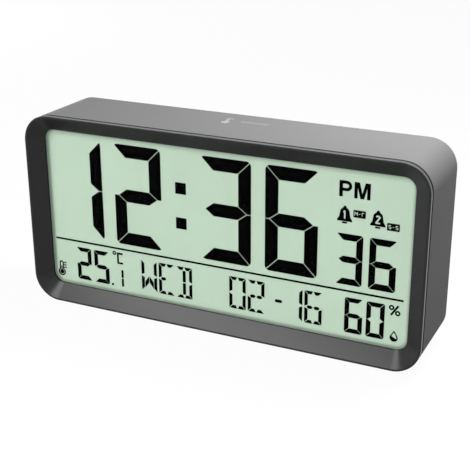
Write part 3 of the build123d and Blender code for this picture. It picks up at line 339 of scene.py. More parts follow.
def grain_group():
    """Moulded grain: fine pits for the bump, and broad patches for tone."""
    recipe, given, result = shader_group(
        "moulded_grain", [("Pit Size", 0.0004), ("Patch Size", 0.03)], ["Height", "Tone"])
    place = recipe.place()
    pits = recipe.noise(place, recipe.math("DIVIDE", 1.0, given["Pit Size"]))
    recipe.feed(result["Height"], pits)
    patches = recipe.noise(place, recipe.math("DIVIDE", 1.0, given["Patch Size"]), detail=4.0)
    recipe.feed(result["Tone"], recipe.spread(patches, *TONE_RANGE))


def streak_group():
    """Drawn metal: fine streaks along X for the bump and the tone."""
    recipe, given, result = shader_group(
        "drawn_streaks", [("Streak Width", STREAK_WIDTH), ("Stretch", 14.0)], ["Height", "Tone"])
    across = recipe.math("DIVIDE", 1.0, given["Streak Width"])
    along = recipe.math("DIVIDE", across, given["Stretch"])
    place = recipe.vector("MULTIPLY", recipe.place(), recipe.combine(along, across, across))
    streaks = recipe.noise(place, scale=1.0, detail=3.0)
    recipe.feed(result["Height"], streaks)
    recipe.feed(result["Tone"], recipe.spread(streaks, *TONE_RANGE))


def field_group():
    """Distance inward from the edge of a rounded rectangle in X and Z."""
    sockets = [("Middle", ORIGIN), ("Half Size", FACE_HALF), ("Corner", FACE_CORNER)]
    recipe, given, result = shader_group("rounded_field", sockets, ["Inside"])
    offset = recipe.vector("SUBTRACT", recipe.place(), given["Middle"])
    folded = recipe.vector("ABSOLUTE", recipe.vector("MULTIPLY", offset, X_AND_Z))
    corner = recipe.combine(given["Corner"], given["Corner"], given["Corner"])
    inner = recipe.vector("SUBTRACT", given["Half Size"], corner)
    past = recipe.vector("MULTIPLY", recipe.vector("SUBTRACT", folded, inner), X_AND_Z)
    reach = recipe.vector("LENGTH", recipe.vector("MAXIMUM", past, ORIGIN))
    x, _, z = recipe.axes(past)
    flat = recipe.math("MINIMUM", recipe.math("MAXIMUM", x, z), 0.0)
    outward = recipe.math("ADD", reach, flat)
    recipe.feed(result["Inside"], recipe.math("SUBTRACT", given["Corner"], outward))


def track_group():
    """Copper tracks of a circuit board under its lacquer, and the board's weave, in X and Z."""
    recipe, given, result = shader_group(
        "board_tracks", [("Pitch", TRACK_PITCH)], ["Track", "Weave"])
    x, _, z = recipe.axes(recipe.place())
    flat = recipe.combine(x, z)
    bricks = recipe.add("ShaderNodeTexBrick", {
        "Vector": flat, "Scale": recipe.math("DIVIDE", 1.0, given["Pitch"]), "Mortar Size": 0.06,
        "Mortar Smooth": 0.1, "Brick Width": 2.6, "Row Height": 0.45}, offset=0.37)
    recipe.feed(result["Track"], bricks.outputs["Fac"])
    weave = recipe.add("ShaderNodeTexChecker", {"Vector": flat, "Scale": WEAVE_SCALE})
    recipe.feed(result["Weave"], weave.outputs["Fac"])


def material(name):
    """New material with a Principled shader: its recipe and the shader's inputs."""
    made = bpy.data.materials.new(name + "_finish")
    made.use_nodes = True
    made.node_tree.nodes.clear()
    recipe = Recipe(made.node_tree)
    shader = recipe.add("ShaderNodeBsdfPrincipled")
    recipe.add("ShaderNodeOutputMaterial", {"Surface": shader.outputs[0]})
    return made, recipe, shader.inputs


def use_group(recipe, name, **values):
    """Places a shared group in a material, with its values."""
    placed = recipe.add("ShaderNodeGroup", node_tree=bpy.data.node_groups[name])
    for label, value in values.items():
        recipe.feed(placed.inputs[label.replace("_", " ").title()], value)
    return placed.outputs


def set_bump(recipe, inputs, height, depth):
    """Bump of a real depth."""
    bump = recipe.add("ShaderNodeBump", {"Height": height, "Distance": depth, "Strength": 1.0})
    recipe.feed(inputs["Normal"], bump.outputs[0])


def plastic(name, colour, roughness, pit, depth, tone=0.04, specular=0.35, vary=0.04):
    """Moulded plastic, rubber or print with grain and slight patches of tone."""
    made, recipe, inputs = material(name)
    grain = use_group(recipe, "moulded_grain", pit_size=pit)
    patches = grain["Tone"]
    recipe.feed(inputs["Base Color"], recipe.mottle(patches, colour, 1.0 - tone, 1.0 + tone))
    dull = recipe.between(patches, roughness - vary, roughness + vary)
    recipe.feed(inputs["Roughness"], dull)
    inputs["Specular IOR Level"].default_value = specular
    set_bump(recipe, inputs, grain["Height"], depth)
    return made


def metal(name, colour, roughness, width=STREAK_WIDTH):
    """Drawn or plated metal with fine streaks."""
    made, recipe, inputs = material(name)
    streaks = use_group(recipe, "drawn_streaks", streak_width=width)
    tone = recipe.mottle(streaks["Tone"], colour, 1.0 - METAL_VARY, 1.0 + METAL_VARY)
    recipe.feed(inputs["Base Color"], tone)
    dull = recipe.between(streaks["Tone"], roughness - METAL_VARY, roughness + METAL_VARY)
    recipe.feed(inputs["Roughness"], dull)
    inputs["Metallic"].default_value = 1.0
    set_bump(recipe, inputs, streaks["Height"], STREAK_DEPTH)
    return made


def clear(name, colour, ior, roughness):
    """Clear plastic or glass that shows what lies behind it."""
    made, recipe, inputs = material(name)
    grain = use_group(recipe, "moulded_grain", pit_size=CLEAR_PIT)
    inputs["Base Color"].default_value = opaque(colour)
    inputs["Transmission Weight"].default_value = 1.0
    inputs["IOR"].default_value = ior
    dull = recipe.between(grain["Tone"], roughness, roughness + CLEAR_VARY)
    recipe.feed(inputs["Roughness"], dull)
    return made


def let_light_pass(made):
    """Keeps a clear material from casting a dark shadow on what lies behind it."""
    recipe = Recipe(made.node_tree)
    surface = recipe.find("OUTPUT_MATERIAL").inputs["Surface"]
    shader = recipe.find("BSDF_PRINCIPLED").outputs[0]
    shadow = recipe.add("ShaderNodeLightPath").outputs["Is Shadow Ray"]
    through = recipe.add("ShaderNodeBsdfTransparent").outputs[0]
    mixed = recipe.add("ShaderNodeMixShader", {0: shadow, 1: shader, 2: through})
    recipe.feed(surface, mixed.outputs[0])


def dress(made, *names):
    """Gives a material to CAD nodes."""
    for name in names:
        slots = nodes[name].data.materials
        slots.clear()
        slots.append(made)


def dress_plastics(rows):
    """Gives the plastics of a table to their pieces."""
    for name, colour, roughness, pit, depth, pieces in rows:
        dress(plastic(name, colour, roughness, pit, depth), *pieces)


def dress_metals(rows):
    """Gives the metals of a table to their pieces."""
    for name, colour, roughness, pieces in rows:
        dress(metal(name, colour, roughness), *pieces)


def new_object(name, data):
    """New object in the scene."""
    made = bpy.data.objects.new(name, data)
    bpy.context.scene.collection.objects.link(made)
    return made


def plain_mesh(holder):
    """Mesh of a text or a modified object as it is shown."""
    shown = holder.evaluated_get(bpy.context.evaluated_depsgraph_get())
    return bpy.data.meshes.new_from_object(shown)


def arc(middle, radius, start, end, steps):
    """Points along an arc, with its angles in degrees."""
    turns = [math.radians(start + (end - start) * i / steps) for i in range(steps + 1)]
    return [(middle[0] + radius * math.cos(turn), middle[1] + radius * math.sin(turn))
            for turn in turns]


def plate(shape, outline, size):
    """Adds a closed thin plate over an outline, given anticlockwise in units of a size."""
    lower = [shape.verts.new((x * size, y * size, -PRINT_DEPTH)) for x, y in outline]
    upper = [shape.verts.new((x * size, y * size, PRINT_RISE)) for x, y in outline]
    shape.faces.new(lower[::-1])
    shape.faces.new(upper)
    for i in range(len(outline)):
        shape.faces.new((lower[i - 1], lower[i], upper[i], upper[i - 1]))


def lettering(shape, words, size):
    """Adds closed thin lettering, centred on the origin."""
    curve = bpy.data.curves.new("words", "FONT")
    curve.body = words
    curve.size = size
    curve.align_x = "CENTER"
    curve.align_y = "CENTER"
    curve.resolution_u = 4
    curve.extrude = (PRINT_RISE + PRINT_DEPTH) / 2
    holder = new_object("words", curve)
    flat = plain_mesh(holder)
    flat.transform(Matrix.Translation((0.0, 0.0, (PRINT_RISE - PRINT_DEPTH) / 2)))
    shape.from_mesh(flat)
    bpy.data.objects.remove(holder)
    bpy.data.curves.remove(curve)
    bpy.data.meshes.remove(flat)


def put(name, mesh, made, body):
    """Makes a finished mesh an object that rides on a body."""
    mesh.materials.clear()
    mesh.materials.append(made)
    piece = new_object(name, mesh)
    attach(piece, body)


def stamped(shape, place, right, up):
    """A print's mesh, turned to face outwards at its place."""
    bmesh.ops.remove_doubles(shape, verts=shape.verts, dist=SAME_POINT)
    turn = Matrix((right, up, Vector(right).cross(Vector(up)))).transposed().to_4x4()
    bmesh.ops.transform(shape, matrix=Matrix.Translation(place) @ turn, verts=shape.verts)
    bmesh.ops.recalc_face_normals(shape, faces=shape.faces)
    mesh = bpy.data.meshes.new("print")
    shape.to_mesh(mesh)
    shape.free()
    return mesh


def joined(meshes):
    """Several meshes as one."""
    shape = bmesh.new()
    for mesh in meshes:
        shape.from_mesh(mesh)
        bpy.data.meshes.remove(mesh)
    whole = bpy.data.meshes.new("prints")
    shape.to_mesh(whole)
    shape.free()
    return whole


def colour_setting(name, description, default):
    """Colour property of a finish."""
    return FloatVectorProperty(
        name=name, description=description, subtype="COLOR", size=3, min=0.0, max=1.0,
        default=default)


def length_setting(name, description, default):
    """Length property in metres."""
    return FloatProperty(name=name, description=description, unit="LENGTH", default=default)


def share_setting(name, description, default):
    """Property that goes from 0 to 1."""
    return FloatProperty(
        name=name, description=description, subtype="FACTOR", min=0.0, max=1.0, default=default)


class CaseFinish(bpy.types.PropertyGroup):
    """Plastics of the case, the keys and the feet."""
    case_grey: colour_setting("Case grey", "Colour of the case plastic", (0.14, 0.14, 0.141))
    # The bezel grey is a darker copy of the case grey: painted shade that keeps the funnel round
    # the display dark.
    bezel_shaded_grey: colour_setting(
        "Bezel grey", "Colour of the smoother front bezel", (0.058, 0.058, 0.059))
    key_grey: colour_setting("Key grey", "Colour of the keys", (0.022, 0.022, 0.023))
    foot_black: colour_setting("Foot black", "Colour of the rubber feet", (0.02, 0.02, 0.02))
    roughness: share_setting("Roughness", "How dull the case is", 0.55)
    bezel_roughness: share_setting("Bezel roughness", "How dull the bezel is", 0.28)
    pit_size: length_setting("Pit size", "Size of the moulded grain", 0.00035)
    pit_depth: length_setting("Pit depth", "Depth of the moulded grain", 0.000006)
    # Depth where the painted shade on the opening's wall starts.
    wall_shade_depth: length_setting(
        "Wall depth", "Depth from the front where the opening's dark wall starts", 0.00432)


class DisplayFinish(bpy.types.PropertyGroup):
    """Face, marks and window of the display."""
    face_green: colour_setting(
        "Face green", "Colour of the lit display face", (0.53, 0.67, 0.535))
    ink_black: colour_setting("Ink black", "Colour of the dark marks", (0.0006, 0.0006, 0.0006))
    # The base share is kept low and the glow high, so the lamps' shadows of the bezel on the face
    # stay faint. The glow is painted light that stands in for lamplight on the face, and is only
    # partly the clock's backlight.
    base_share: share_setting(
        "Base share", "Share of the face's colour that shows without the light behind it", 0.4)
    painted_glow: FloatProperty(
        name="Glow", description="Strength of the light behind the face", min=0.0, default=0.44)
    # Edge width and edge shade set the painted shade along the edge of the face.
    edge_width: length_setting("Edge width", "Width of the soft shade along the edge", 0.0013)
    edge_shade: share_setting("Edge shade", "Share of light left at the very edge", 0.55)
    window_ior: FloatProperty(
        name="Window index", description="Refractive index of the coated window", min=1.0,
        default=1.06)


class FittingFinish(bpy.types.PropertyGroup):
    """Boards, cells, leads and metal parts inside the case."""
    board_green: colour_setting(
        "Board green", "Lacquer of the circuit boards", (0.012, 0.10, 0.035))
    cell_green: colour_setting("Cell green", "Jacket of the cells", (0.015, 0.16, 0.06))
    cell_band: colour_setting(
        "Cell band", "Band at the raised end of the cells", (0.62, 0.64, 0.60))
    nickel: colour_setting("Nickel", "Plated contacts and springs", (0.51, 0.49, 0.45))
    solder_count: IntProperty(
        name="Solder joints", description="Joints in the row of pins", min=1, default=8)
    solder_pitch: length_setting("Joint pitch", "Distance between the joints", 0.00254)
    solder_width: length_setting("Joint width", "Width of one joint at the board", 0.0017)
    solder_height: length_setting("Joint height", "Height of one joint", 0.0008)


class PrintFinish(bpy.types.PropertyGroup):
    """Printed marks on the case."""
    touch_grey: colour_setting("Touch grey", "Print on the top and the door", (0.26, 0.26, 0.262))
    legend_grey: colour_setting("Legend grey", "Print below the keys", (0.42, 0.42, 0.42))
    touch_word: StringProperty(
        name="Touch word", description="Word beside the touch mark", default="SNOOZE")
    mark_size: length_setting("Mark size", "Height of the touch mark", 0.0075)
    word_size: length_setting("Word size", "Type size of the word on the top", 0.0027)
    legend_size: length_setting("Legend size", "Type size below the keys", 0.0021)
    legend_drop: length_setting(
        "Legend drop", "Distance of the legends below the keys' middle", 0.0042)
    recess_depth: length_setting("Recess depth", "Depth of the key recess in the back", 0.001)


class StageSetting(bpy.types.PropertyGroup):
    """Camera and lights of the studio."""
    eye: FloatVectorProperty(
        name="Eye", description="Place of the camera", subtype="XYZ", unit="LENGTH", size=3,
        default=(0.15926, -0.32936, 0.17686))
    look: FloatVectorProperty(
        name="Look", description="Direction of view", subtype="DIRECTION", size=3,
        default=(-0.40268, 0.84049, -0.36253))
    roll: FloatProperty(
        name="Roll", description="Turn of the camera about its view", subtype="ANGLE",
        default=-0.00377)
    lens: FloatProperty(name="Lens", description="Focal length in millimetres", default=79.03)
    ambient: FloatProperty(
        name="Ambient", description="Even light from all round", min=0.0, default=0.02)
    floor_share: share_setting(
        "Floor share", "Share of the floor's own shading that shows", 0.04)


class CLOCK_OT_case(bpy.types.Operator):
    """Finishes the case, the door, the keys and the feet"""
    bl_idname = "clock.case"
    bl_label = "Case and keys"

    def execute(self, context):
        finish = context.scene.clock_case
        pit, depth = finish.pit_size, finish.pit_depth
        case = plastic("case_plastic", finish.case_grey, finish.roughness, pit, depth,
                       tone=0.03, specular=0.06, vary=0.02)
        dress(case, "rear_housing", "battery_door")
        # Painted shade: the bezel takes a darker copy of the case grey.
        bezel = plastic("bezel_plastic", finish.bezel_shaded_grey, finish.bezel_roughness, pit,
                        depth / BEZEL_SMOOTHNESS, tone=0.02, specular=0.18, vary=0.006)
        # Painted shade: the bezel turns nearly black deep in the opening.
        self.paint_wall_shade(bezel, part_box("front_bezel")[0].y + finish.wall_shade_depth)
        dress(bezel, "front_bezel")
        keys = plastic("key_plastic", finish.key_grey, roughness=0.42, pit=pit, depth=depth,
                       tone=0.06, specular=0.3)
        dress(keys, *[key + "_button" for key in KEYS])
        feet = plastic("foot_rubber", finish.foot_black, roughness=0.75, pit=0.0006,
                       depth=0.00003, tone=0.15, specular=0.2)
        dress(feet, "rubber_feet")
        return {"FINISHED"}

    def paint_wall_shade(self, made, start):
        """Painted shade: the wall behind the funnel, and all that lies further in, is coloured
        nearly black for the shade deep in the opening.
        """
        recipe = Recipe(made.node_tree)
        base = recipe.find("BSDF_PRINCIPLED").inputs["Base Color"]
        paint = base.links[0].from_socket
        depth = recipe.axes(recipe.place())[1]
        recipe.feed(base, recipe.blend(recipe.past(depth, start), paint, WALL_SHADE))


class CLOCK_OT_display(bpy.types.Operator):
    """Finishes the display face, its dark marks, the clear window and the light behind them"""
    bl_idname = "clock.display"
    bl_label = "Display"

    def execute(self, context):
        finish = context.scene.clock_display
        self.light_face(finish)
        ink = plastic("lcd_ink", finish.ink_black, roughness=0.6, pit=FINE_PIT, depth=0.000001,
                      tone=0.3, specular=0.0)
        dress(ink, "lcd_segments")
        window = clear("window_clear", WINDOW_TINT, finish.window_ior, roughness=0.0)
        let_light_pass(window)
        dress(window, "display_window")
        for name, colour, ior, roughness, pieces in DISPLAY_CLEARS:
            dress(clear(name, colour, ior, roughness), *pieces)
        dress_plastics(DISPLAY_PLASTICS)
        self.layer_strips()
        return {"FINISHED"}

    def light_face(self, finish):
        """Pale face with a painted glow, partly the backlight, and a painted soft shade along the
        edge of its field.
        """
        low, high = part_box("front_polariser")
        middle = (low + high) / 2 + Vector(FACE_SHIFT)
        made, recipe, inputs = material("lcd_face")
        grain = use_group(recipe, "moulded_grain", pit_size=FINE_PIT, patch_size=FACE_PATCH)
        field = use_group(recipe, "rounded_field", middle=tuple(middle), half_size=FACE_HALF,
                          corner=FACE_CORNER)
        even = recipe.mottle(grain["Tone"], finish.face_green, 1.0 - FACE_TONE, 1.0 + FACE_TONE)
        # Painted shade: the face darkens towards the edge of its field, for the shadow of the bezel
        # on the recessed face.
        edge = recipe.spread(
            field["Inside"], 0.0, finish.edge_width, finish.edge_shade, 1.0, smooth=True)
        face = recipe.blend(edge, BLACK, even)
        # Painted glow: a darker base colour with an even glow stands in for the lamplight on the
        # face, and is only partly the backlight.
        recipe.feed(inputs["Base Color"], recipe.blend(finish.base_share, BLACK, face))
        recipe.feed(inputs["Emission Color"], face)
        inputs["Emission Strength"].default_value = finish.painted_glow
        recipe.feed(inputs["Roughness"], recipe.between(grain["Tone"], low=0.58, high=0.64))
        inputs["Specular IOR Level"].default_value = 0.1
        set_bump(recipe, inputs, grain["Height"], depth=0.000002)
        dress(made, "front_polariser")

    def layer_strips(self):
        """Rubber strips with thin dark conducting layers across them."""
        made, recipe, inputs = material("zebra_rubber")
        x = recipe.axes(recipe.place())[0]
        wave = recipe.math("SINE", recipe.math("MULTIPLY", x, 2 * math.pi / STRIP_PITCH))
        layer = recipe.spread(wave, -STRIP_SOFT, STRIP_SOFT)
        recipe.feed(inputs["Base Color"], recipe.blend(layer, STRIP_PINK, STRIP_BLACK))
        grain = use_group(recipe, "moulded_grain", pit_size=FINE_PIT)
        recipe.feed(inputs["Roughness"], recipe.between(grain["Tone"], low=0.6, high=0.7))
        set_bump(recipe, inputs, grain["Height"], depth=0.000008)
        dress(made, "zebra_strips")


class CLOCK_OT_boards(bpy.types.Operator):
    """Finishes the circuit boards, what stands on them and the screws"""
    bl_idname = "clock.boards"
    bl_label = "Boards and screws"

    def execute(self, context):
        self.lacquer_boards(context.scene.clock_fittings)
        self.sleeve_capacitor()
        dress_plastics(BOARD_PLASTICS)
        dress_metals(BOARD_METALS)
        return {"FINISHED"}

    def lacquer_boards(self, finish):
        """Green lacquer, paler and raised over the copper tracks."""
        made, recipe, inputs = material("board_green")
        tracks = use_group(recipe, "board_tracks", pitch=TRACK_PITCH)
        grain = use_group(recipe, "moulded_grain", pit_size=FINE_PIT)
        plain = recipe.mottle(grain["Tone"], finish.board_green, *LACQUER_SHARES)
        track = opaque(shaded(finish.board_green, TRACK_LIGHT))
        recipe.feed(inputs["Base Color"], recipe.blend(tracks["Track"], plain, track))
        recipe.feed(inputs["Roughness"], recipe.between(tracks["Weave"], low=0.28, high=0.36))
        weave = recipe.math("MULTIPLY", tracks["Weave"], WEAVE_SHARE)
        set_bump(recipe, inputs, recipe.math("ADD", tracks["Track"], weave), TRACK_DEPTH)
        dress(made, "main_board", "key_board", "lamp_board", "sensor_board")

    def sleeve_capacitor(self):
        """Dark sleeve with the pale stripe of the minus side and a bare top."""
        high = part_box("board_capacitor")[1]
        made, recipe, inputs = material("capacitor_sleeve")
        grain = use_group(recipe, "moulded_grain", pit_size=FINE_PIT)
        x, y, _ = recipe.axes(recipe.place())
        sleeve = recipe.blend(grain["Tone"], SLEEVE_DARK, SLEEVE_LIGHT)
        sleeve = recipe.blend(recipe.past(x, high.x - STRIPE_WIDTH), sleeve, STRIPE_GREY)
        bare = recipe.past(y, high.y - BARE_TOP)
        recipe.feed(inputs["Base Color"], recipe.blend(bare, sleeve, BARE_METAL))
        recipe.feed(inputs["Metallic"], bare)
        recipe.feed(inputs["Roughness"], recipe.between(grain["Tone"], low=0.3, high=0.4))
        dress(made, "board_capacitor")


class CLOCK_OT_power(bpy.types.Operator):
    """Finishes the cells, their contacts and springs, and the leads"""
    bl_idname = "clock.power"
    bl_label = "Cells and leads"

    def execute(self, context):
        finish = context.scene.clock_fittings
        self.wrap_cells(finish)
        contacts = metal("contact_nickel", finish.nickel, roughness=0.3)
        dress(contacts, "battery_contacts", "touch_leaf")
        wire = shaded(finish.nickel, SPRING_SHARE)
        dress(metal("spring_nickel", wire, roughness=0.27, width=0.0001), "battery_springs")
        dress_plastics(LEAD_PLASTICS)
        return {"FINISHED"}

    def wrap_cells(self, finish):
        """Printed jackets with a band and a plus sign at the raised end, left in the middle row."""
        low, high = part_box("battery_cells")
        middle = (low + high) / 2
        pitch = (high.z - low.z - CELL_DIAMETER) / 2
        made, recipe, inputs = material("cell_jacket")
        grain = use_group(recipe, "moulded_grain", pit_size=FINE_PIT)
        x, y, z = recipe.axes(recipe.place())
        turned = recipe.within(z, middle.z, pitch / 2)
        along = recipe.math("MULTIPLY", x, recipe.between(turned, 1.0, -1.0))
        offset = recipe.math("SUBTRACT", z, middle.z)
        across = recipe.math("WRAP", offset, pitch / 2, -pitch / 2)
        jacket = recipe.mottle(grain["Tone"], finish.cell_green, 1.0 - CELL_TONE, 1.0 + CELL_TONE)
        tip, foot = high.x, high.x - CELL_LENGTH
        band = tip - BAND_DROP
        jacket = recipe.blend(
            recipe.within(along, band, BAND_HALF), jacket, opaque(finish.cell_band))
        bar = recipe.math("MULTIPLY", recipe.within(along, band, SIGN_HALF),
                          recipe.within(across, 0.0, SIGN_THIN))
        post = recipe.math("MULTIPLY", recipe.within(along, band, SIGN_THIN),
                           recipe.within(across, 0.0, SIGN_HALF))
        cross = recipe.math("MAXIMUM", bar, post)
        sign = recipe.math("MULTIPLY", cross, recipe.past(y, middle.y))
        jacket = recipe.blend(sign, jacket, SIGN_BLACK)
        rim = recipe.spread(along, foot + RIM_START, foot + RIM_END, 1.0, 0.0)
        ends = recipe.math("MAXIMUM", recipe.past(along, tip - CELL_NUB), rim)
        recipe.feed(inputs["Base Color"], recipe.blend(ends, jacket, BARE_METAL))
        recipe.feed(inputs["Metallic"], ends)
        recipe.feed(inputs["Roughness"], recipe.between(grain["Tone"], low=0.24, high=0.32))
        set_bump(recipe, inputs, grain["Height"], depth=0.000003)
        dress(made, "battery_cells")


class CLOCK_OT_fittings(bpy.types.Operator):
    """Finishes the buzzer, the sensors and the touch foil"""
    bl_idname = "clock.fittings"
    bl_label = "Buzzer, sensors and foil"

    def execute(self, context):
        dress_plastics(FITTING_PLASTICS)
        dress_metals(FITTING_METALS)
        return {"FINISHED"}


class CLOCK_OT_solder(bpy.types.Operator):
    """Makes the row of solder joints of the pin strip on the main board"""
    bl_idname = "clock.solder"
    bl_label = "Solder joints"

    def execute(self, context):
        finish = context.scene.clock_fittings
        tree = self.joint_tree()
        low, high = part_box("link_header")
        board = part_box("main_board")[0]
        made = metal("solder_tin", SOLDER_TIN, roughness=0.32, width=0.0002)
        values = {
            "Count": finish.solder_count, "Pitch": finish.solder_pitch,
            "Width": finish.solder_width, "Height": finish.solder_height,
            "Place": ((low.x + high.x) / 2, board.y, (low.z + high.z) / 2), "Finish": made}
        holder = new_object("solder_holder", bpy.data.meshes.new("solder_holder"))
        modifier = holder.modifiers.new("joints", "NODES")
        modifier.node_group = tree
        for item in tree.interface.items_tree:
            if item.in_out == "INPUT":
                modifier[item.identifier] = values[item.name]
        mesh = plain_mesh(holder)
        holder.modifiers.remove(modifier)
        bpy.data.objects.remove(holder)
        if not mesh.polygons:
            raise RuntimeError("the solder joints came out empty")
        put("solder_joints", mesh, made, "case")
        return {"FINISHED"}

    def joint_tree(self):
        """Geometry nodes: a row of rounded cones that stand on the board and face the front."""
        tree = bpy.data.node_groups.new("solder_row", "GeometryNodeTree")
        for label, kind in SOLDER_INPUTS:
            tree.interface.new_socket(label, in_out="INPUT", socket_type=kind)
        tree.interface.new_socket("Geometry", in_out="OUTPUT", socket_type="NodeSocketGeometry")
        recipe = Recipe(tree)
        given = recipe.add("NodeGroupInput").outputs
        gaps = recipe.math("SUBTRACT", given["Count"], 1.0)
        span = recipe.math("MULTIPLY", given["Pitch"], gaps)
        first = recipe.combine(recipe.math("MULTIPLY", span, -0.5))
        row = recipe.add("GeometryNodeMeshLine", {
            "Count": given["Count"], "Start Location": recipe.vector("ADD", first, given["Place"]),
            "Offset": recipe.combine(given["Pitch"])})
        cone = recipe.add("GeometryNodeMeshCone", {
            "Vertices": 12, "Side Segments": 3, "Depth": given["Height"],
            "Radius Top": recipe.math("MULTIPLY", given["Width"], SOLDER_CROWN),
            "Radius Bottom": recipe.math("MULTIPLY", given["Width"], 0.5)}, fill_type="NGON")
        smooth = recipe.add(
            "GeometryNodeSubdivisionSurface", {"Mesh": cone.outputs["Mesh"], "Level": 1})
        placed = recipe.add("GeometryNodeInstanceOnPoints", {
            "Points": row.outputs[0], "Instance": smooth.outputs[0],
            "Rotation": (math.pi / 2, 0.0, 0.0)})
        real = recipe.add("GeometryNodeRealizeInstances", {0: placed.outputs[0]})
        done = recipe.add(
            "GeometryNodeSetMaterial", {"Geometry": real.outputs[0], "Material": given["Finish"]})
        recipe.add("NodeGroupOutput", {0: done.outputs[0]})
        return tree


class CLOCK_OT_prints(bpy.types.Operator):
    """Prints the touch mark on the top, the key legends and the mark on the door"""
    bl_idname = "clock.prints"
    bl_label = "Prints"

    def execute(self, context):
        finish = context.scene.clock_prints
        pale = self.mix_ink("touch_print", finish.touch_grey)
        legend = self.mix_ink("legend_print", finish.legend_grey)
        self.print_top(finish, pale)
        self.print_legends(finish, legend)
        self.print_door(pale)
        return {"FINISHED"}

    def mix_ink(self, name, colour):
        """Dull ink of a print."""
        return plastic(name, colour, roughness=0.5, pit=FINE_PIT, depth=0.000002, tone=0.08,
                       specular=0.2)

    def print_top(self, finish, ink):
        """The touch mark and the word beside it."""
        top = cad_box[1].z
        hand = bmesh.new()
        for outline in self.touch_outlines():
            plate(hand, outline, finish.mark_size / MARK_UNITS)
        word = bmesh.new()
        lettering(word, finish.touch_word, finish.word_size)
        marks = [stamped(hand, (*HAND_PLACE, top), *FROM_ABOVE),
                 stamped(word, (*WORD_PLACE, top), *FROM_ABOVE)]
        put("touch_print", joined(marks), ink, "case")

    def touch_outlines(self):
        """A hand with one finger out, and rings of touch round its tip."""
        outlines = [arc(TIP, TIP_RADIUS, 0.0, 180.0, TIP_STEPS) + HAND]
        for outer, inner, start, end, steps in RINGS:
            outlines.append(arc(TIP, outer, start, end, steps) + arc(TIP, inner, end, start, steps))
        return outlines

    def print_legends(self, finish, ink):
        """A legend below each key, on the floor of the recess."""
        floor = cad_box[1].y - finish.recess_depth
        legends = []
        for key in KEYS:
            low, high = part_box(key + "_button")
            place = ((low.x + high.x) / 2, floor, (low.z + high.z) / 2 - finish.legend_drop)
            shape = self.key_legend(key, finish.legend_size)
            legends.append(stamped(shape, place, *FROM_BEHIND))
        put("key_legends", joined(legends), ink, "case")

    def key_legend(self, key, size):
        """A key's word, or an arrow up or down."""
        shape = bmesh.new()
        if key == "up":
            plate(shape, ARROW, size)
        elif key == "down":
            plate(shape, [(x, -y) for x, y in reversed(ARROW)], size)
        else:
            lettering(shape, LEGENDS[key], size)
        return shape

    def print_door(self, ink):
        """An arrow that points to the door's latch."""
        arrow = bmesh.new()
        plate(arrow, ARROW, DOOR_ARROW_SIZE)
        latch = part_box("battery_door")[1].z
        mesh = stamped(arrow, (0.0, cad_box[1].y, latch - DOOR_ARROW_DROP), *FROM_BEHIND)
        put("door_mark", mesh, ink, "battery_door")


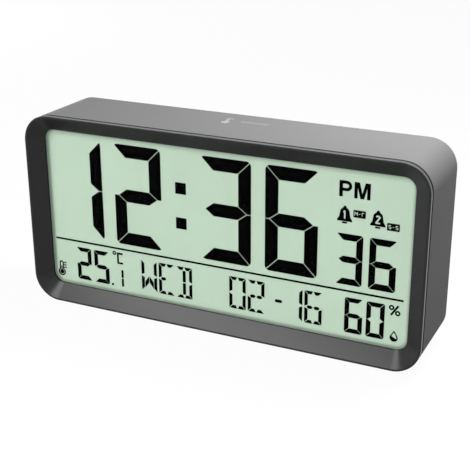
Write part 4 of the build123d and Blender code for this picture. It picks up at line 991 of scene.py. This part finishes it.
class CLOCK_OT_stage(bpy.types.Operator):
    """Sets up the camera, the floor and the studio lights"""
    bl_idname = "clock.stage"
    bl_label = "Stage"

    def execute(self, context):
        scene = context.scene
        setting = scene.clock_stage
        scene.view_settings.view_transform = "Standard"
        self.set_camera(scene, setting)
        self.set_world(scene, setting)
        self.lay_floor(setting)
        for name, place, aim, size, power in LAMPS:
            self.hang_lamp(name, Vector(place), Vector(aim), size, power)
        return {"FINISHED"}

    def set_camera(self, scene, setting):
        """Camera at the place and angle that the settings give."""
        camera = new_object("camera", bpy.data.cameras.new("camera"))
        camera.data.lens = setting.lens
        camera.data.sensor_width = SENSOR_WIDTH
        camera.data.clip_start = NEAR_LIMIT
        turn = Vector(setting.look).to_track_quat("-Z", "Y").to_matrix()
        turn = turn @ Matrix.Rotation(setting.roll, 3, "Z")
        camera.matrix_world = Matrix.Translation(setting.eye) @ turn.to_4x4()
        scene.camera = camera

    def seen(self, recipe):
        """1 for a ray from the camera, or one that a shiny or clear surface sends on, else 0."""
        path = recipe.add("ShaderNodeLightPath").outputs
        shown = recipe.math("MAXIMUM", path["Is Glossy Ray"], path["Is Transmission Ray"])
        return recipe.math("MAXIMUM", path["Is Camera Ray"], shown)

    def set_world(self, scene, setting):
        """World that is seen as white and gives a little even light."""
        world = bpy.data.worlds.new("studio")
        scene.world = world
        world.use_nodes = True
        world.cycles.sampling_method = "NONE"
        world.node_tree.nodes.clear()
        recipe = Recipe(world.node_tree)
        level = recipe.math("MAXIMUM", self.seen(recipe), setting.ambient)
        background = recipe.add("ShaderNodeBackground", {"Color": WHITE, "Strength": level})
        recipe.add("ShaderNodeOutputWorld", {"Surface": background.outputs[0]})

    def lay_floor(self, setting):
        """Floor that is seen as white with a faint shadow, and sends little light on."""
        half = FLOOR_HALF
        mesh = bpy.data.meshes.new("floor")
        points = [(-half, -half, 0), (half, -half, 0), (half, half, 0), (-half, half, 0)]
        mesh.from_pydata(points, [], [(0, 1, 2, 3)])
        floor = new_object("floor", mesh)
        made = bpy.data.materials.new("floor")
        made.use_nodes = True
        made.cycles.emission_sampling = "NONE"
        made.node_tree.nodes.clear()
        recipe = Recipe(made.node_tree)
        seen = self.seen(recipe)
        grain = recipe.noise(recipe.place(), FLOOR_GRAIN)
        tint = recipe.blend(seen, recipe.blend(grain, FLOOR_DARK, FLOOR_LIGHT), FLOOR_SEEN)
        matt = recipe.add("ShaderNodeBsdfDiffuse", {"Color": tint}).outputs[0]
        bright = recipe.add("ShaderNodeEmission", {"Color": WHITE, "Strength": 1.0}).outputs[0]
        share = recipe.math("MULTIPLY", seen, 1.0 - setting.floor_share)
        mixed = recipe.add("ShaderNodeMixShader", {0: share, 1: matt, 2: bright})
        recipe.add("ShaderNodeOutputMaterial", {"Surface": mixed.outputs[0]})
        mesh.materials.append(made)

    def hang_lamp(self, name, place, aim, size, power):
        """Flat lamp that faces a point and is not seen itself."""
        data = bpy.data.lights.new(name, "AREA")
        data.shape = "RECTANGLE"
        data.size, data.size_y = size
        data.energy = power
        lamp = new_object(name, data)
        lamp.rotation_mode = "QUATERNION"
        lamp.location = place
        lamp.rotation_quaternion = (aim - place).to_track_quat("-Z", "Y")
        lamp.visible_camera = False


class CLOCK_PT_panel(bpy.types.Panel):
    """Lists the clock's pieces and their settings"""
    bl_idname = "CLOCK_PT_panel"
    bl_label = "Desk clock"
    bl_space_type = "VIEW_3D"
    bl_region_type = "UI"
    bl_category = "Clock"

    def draw(self, context):
        column = self.layout.column()
        for entry in OPERATORS:
            column.operator(entry.bl_idname)
        for attribute, group in SETTINGS:
            box = self.layout.box()
            settings = getattr(context.scene, attribute)
            for label in group.__annotations__:
                box.prop(settings, label)


OPERATORS = (
    CLOCK_OT_case, CLOCK_OT_display, CLOCK_OT_boards, CLOCK_OT_power, CLOCK_OT_fittings,
    CLOCK_OT_solder, CLOCK_OT_prints, CLOCK_OT_stage,
)
SETTINGS = (
    ("clock_case", CaseFinish), ("clock_display", DisplayFinish),
    ("clock_fittings", FittingFinish), ("clock_prints", PrintFinish),
    ("clock_stage", StageSetting),
)


def register():
    """Registers the classes and their settings."""
    for attribute, group in SETTINGS:
        bpy.utils.register_class(group)
        setattr(bpy.types.Scene, attribute, PointerProperty(type=group))
    for entry in OPERATORS:
        bpy.utils.register_class(entry)
    bpy.utils.register_class(CLOCK_PT_panel)


def unregister():
    """Removes the classes and their settings."""
    bpy.utils.unregister_class(CLOCK_PT_panel)
    for entry in reversed(OPERATORS):
        bpy.utils.unregister_class(entry)
    for attribute, group in reversed(SETTINGS):
        delattr(bpy.types.Scene, attribute)
        bpy.utils.unregister_class(group)


def main():
    """Builds the looks in order."""
    register()
    grain_group()
    streak_group()
    field_group()
    track_group()
    bpy.ops.clock.case()
    bpy.ops.clock.display()
    bpy.ops.clock.boards()
    bpy.ops.clock.power()
    bpy.ops.clock.fittings()
    bpy.ops.clock.solder()
    bpy.ops.clock.prints()
    bpy.ops.clock.stage()


if __name__ == "__main__":
    main()
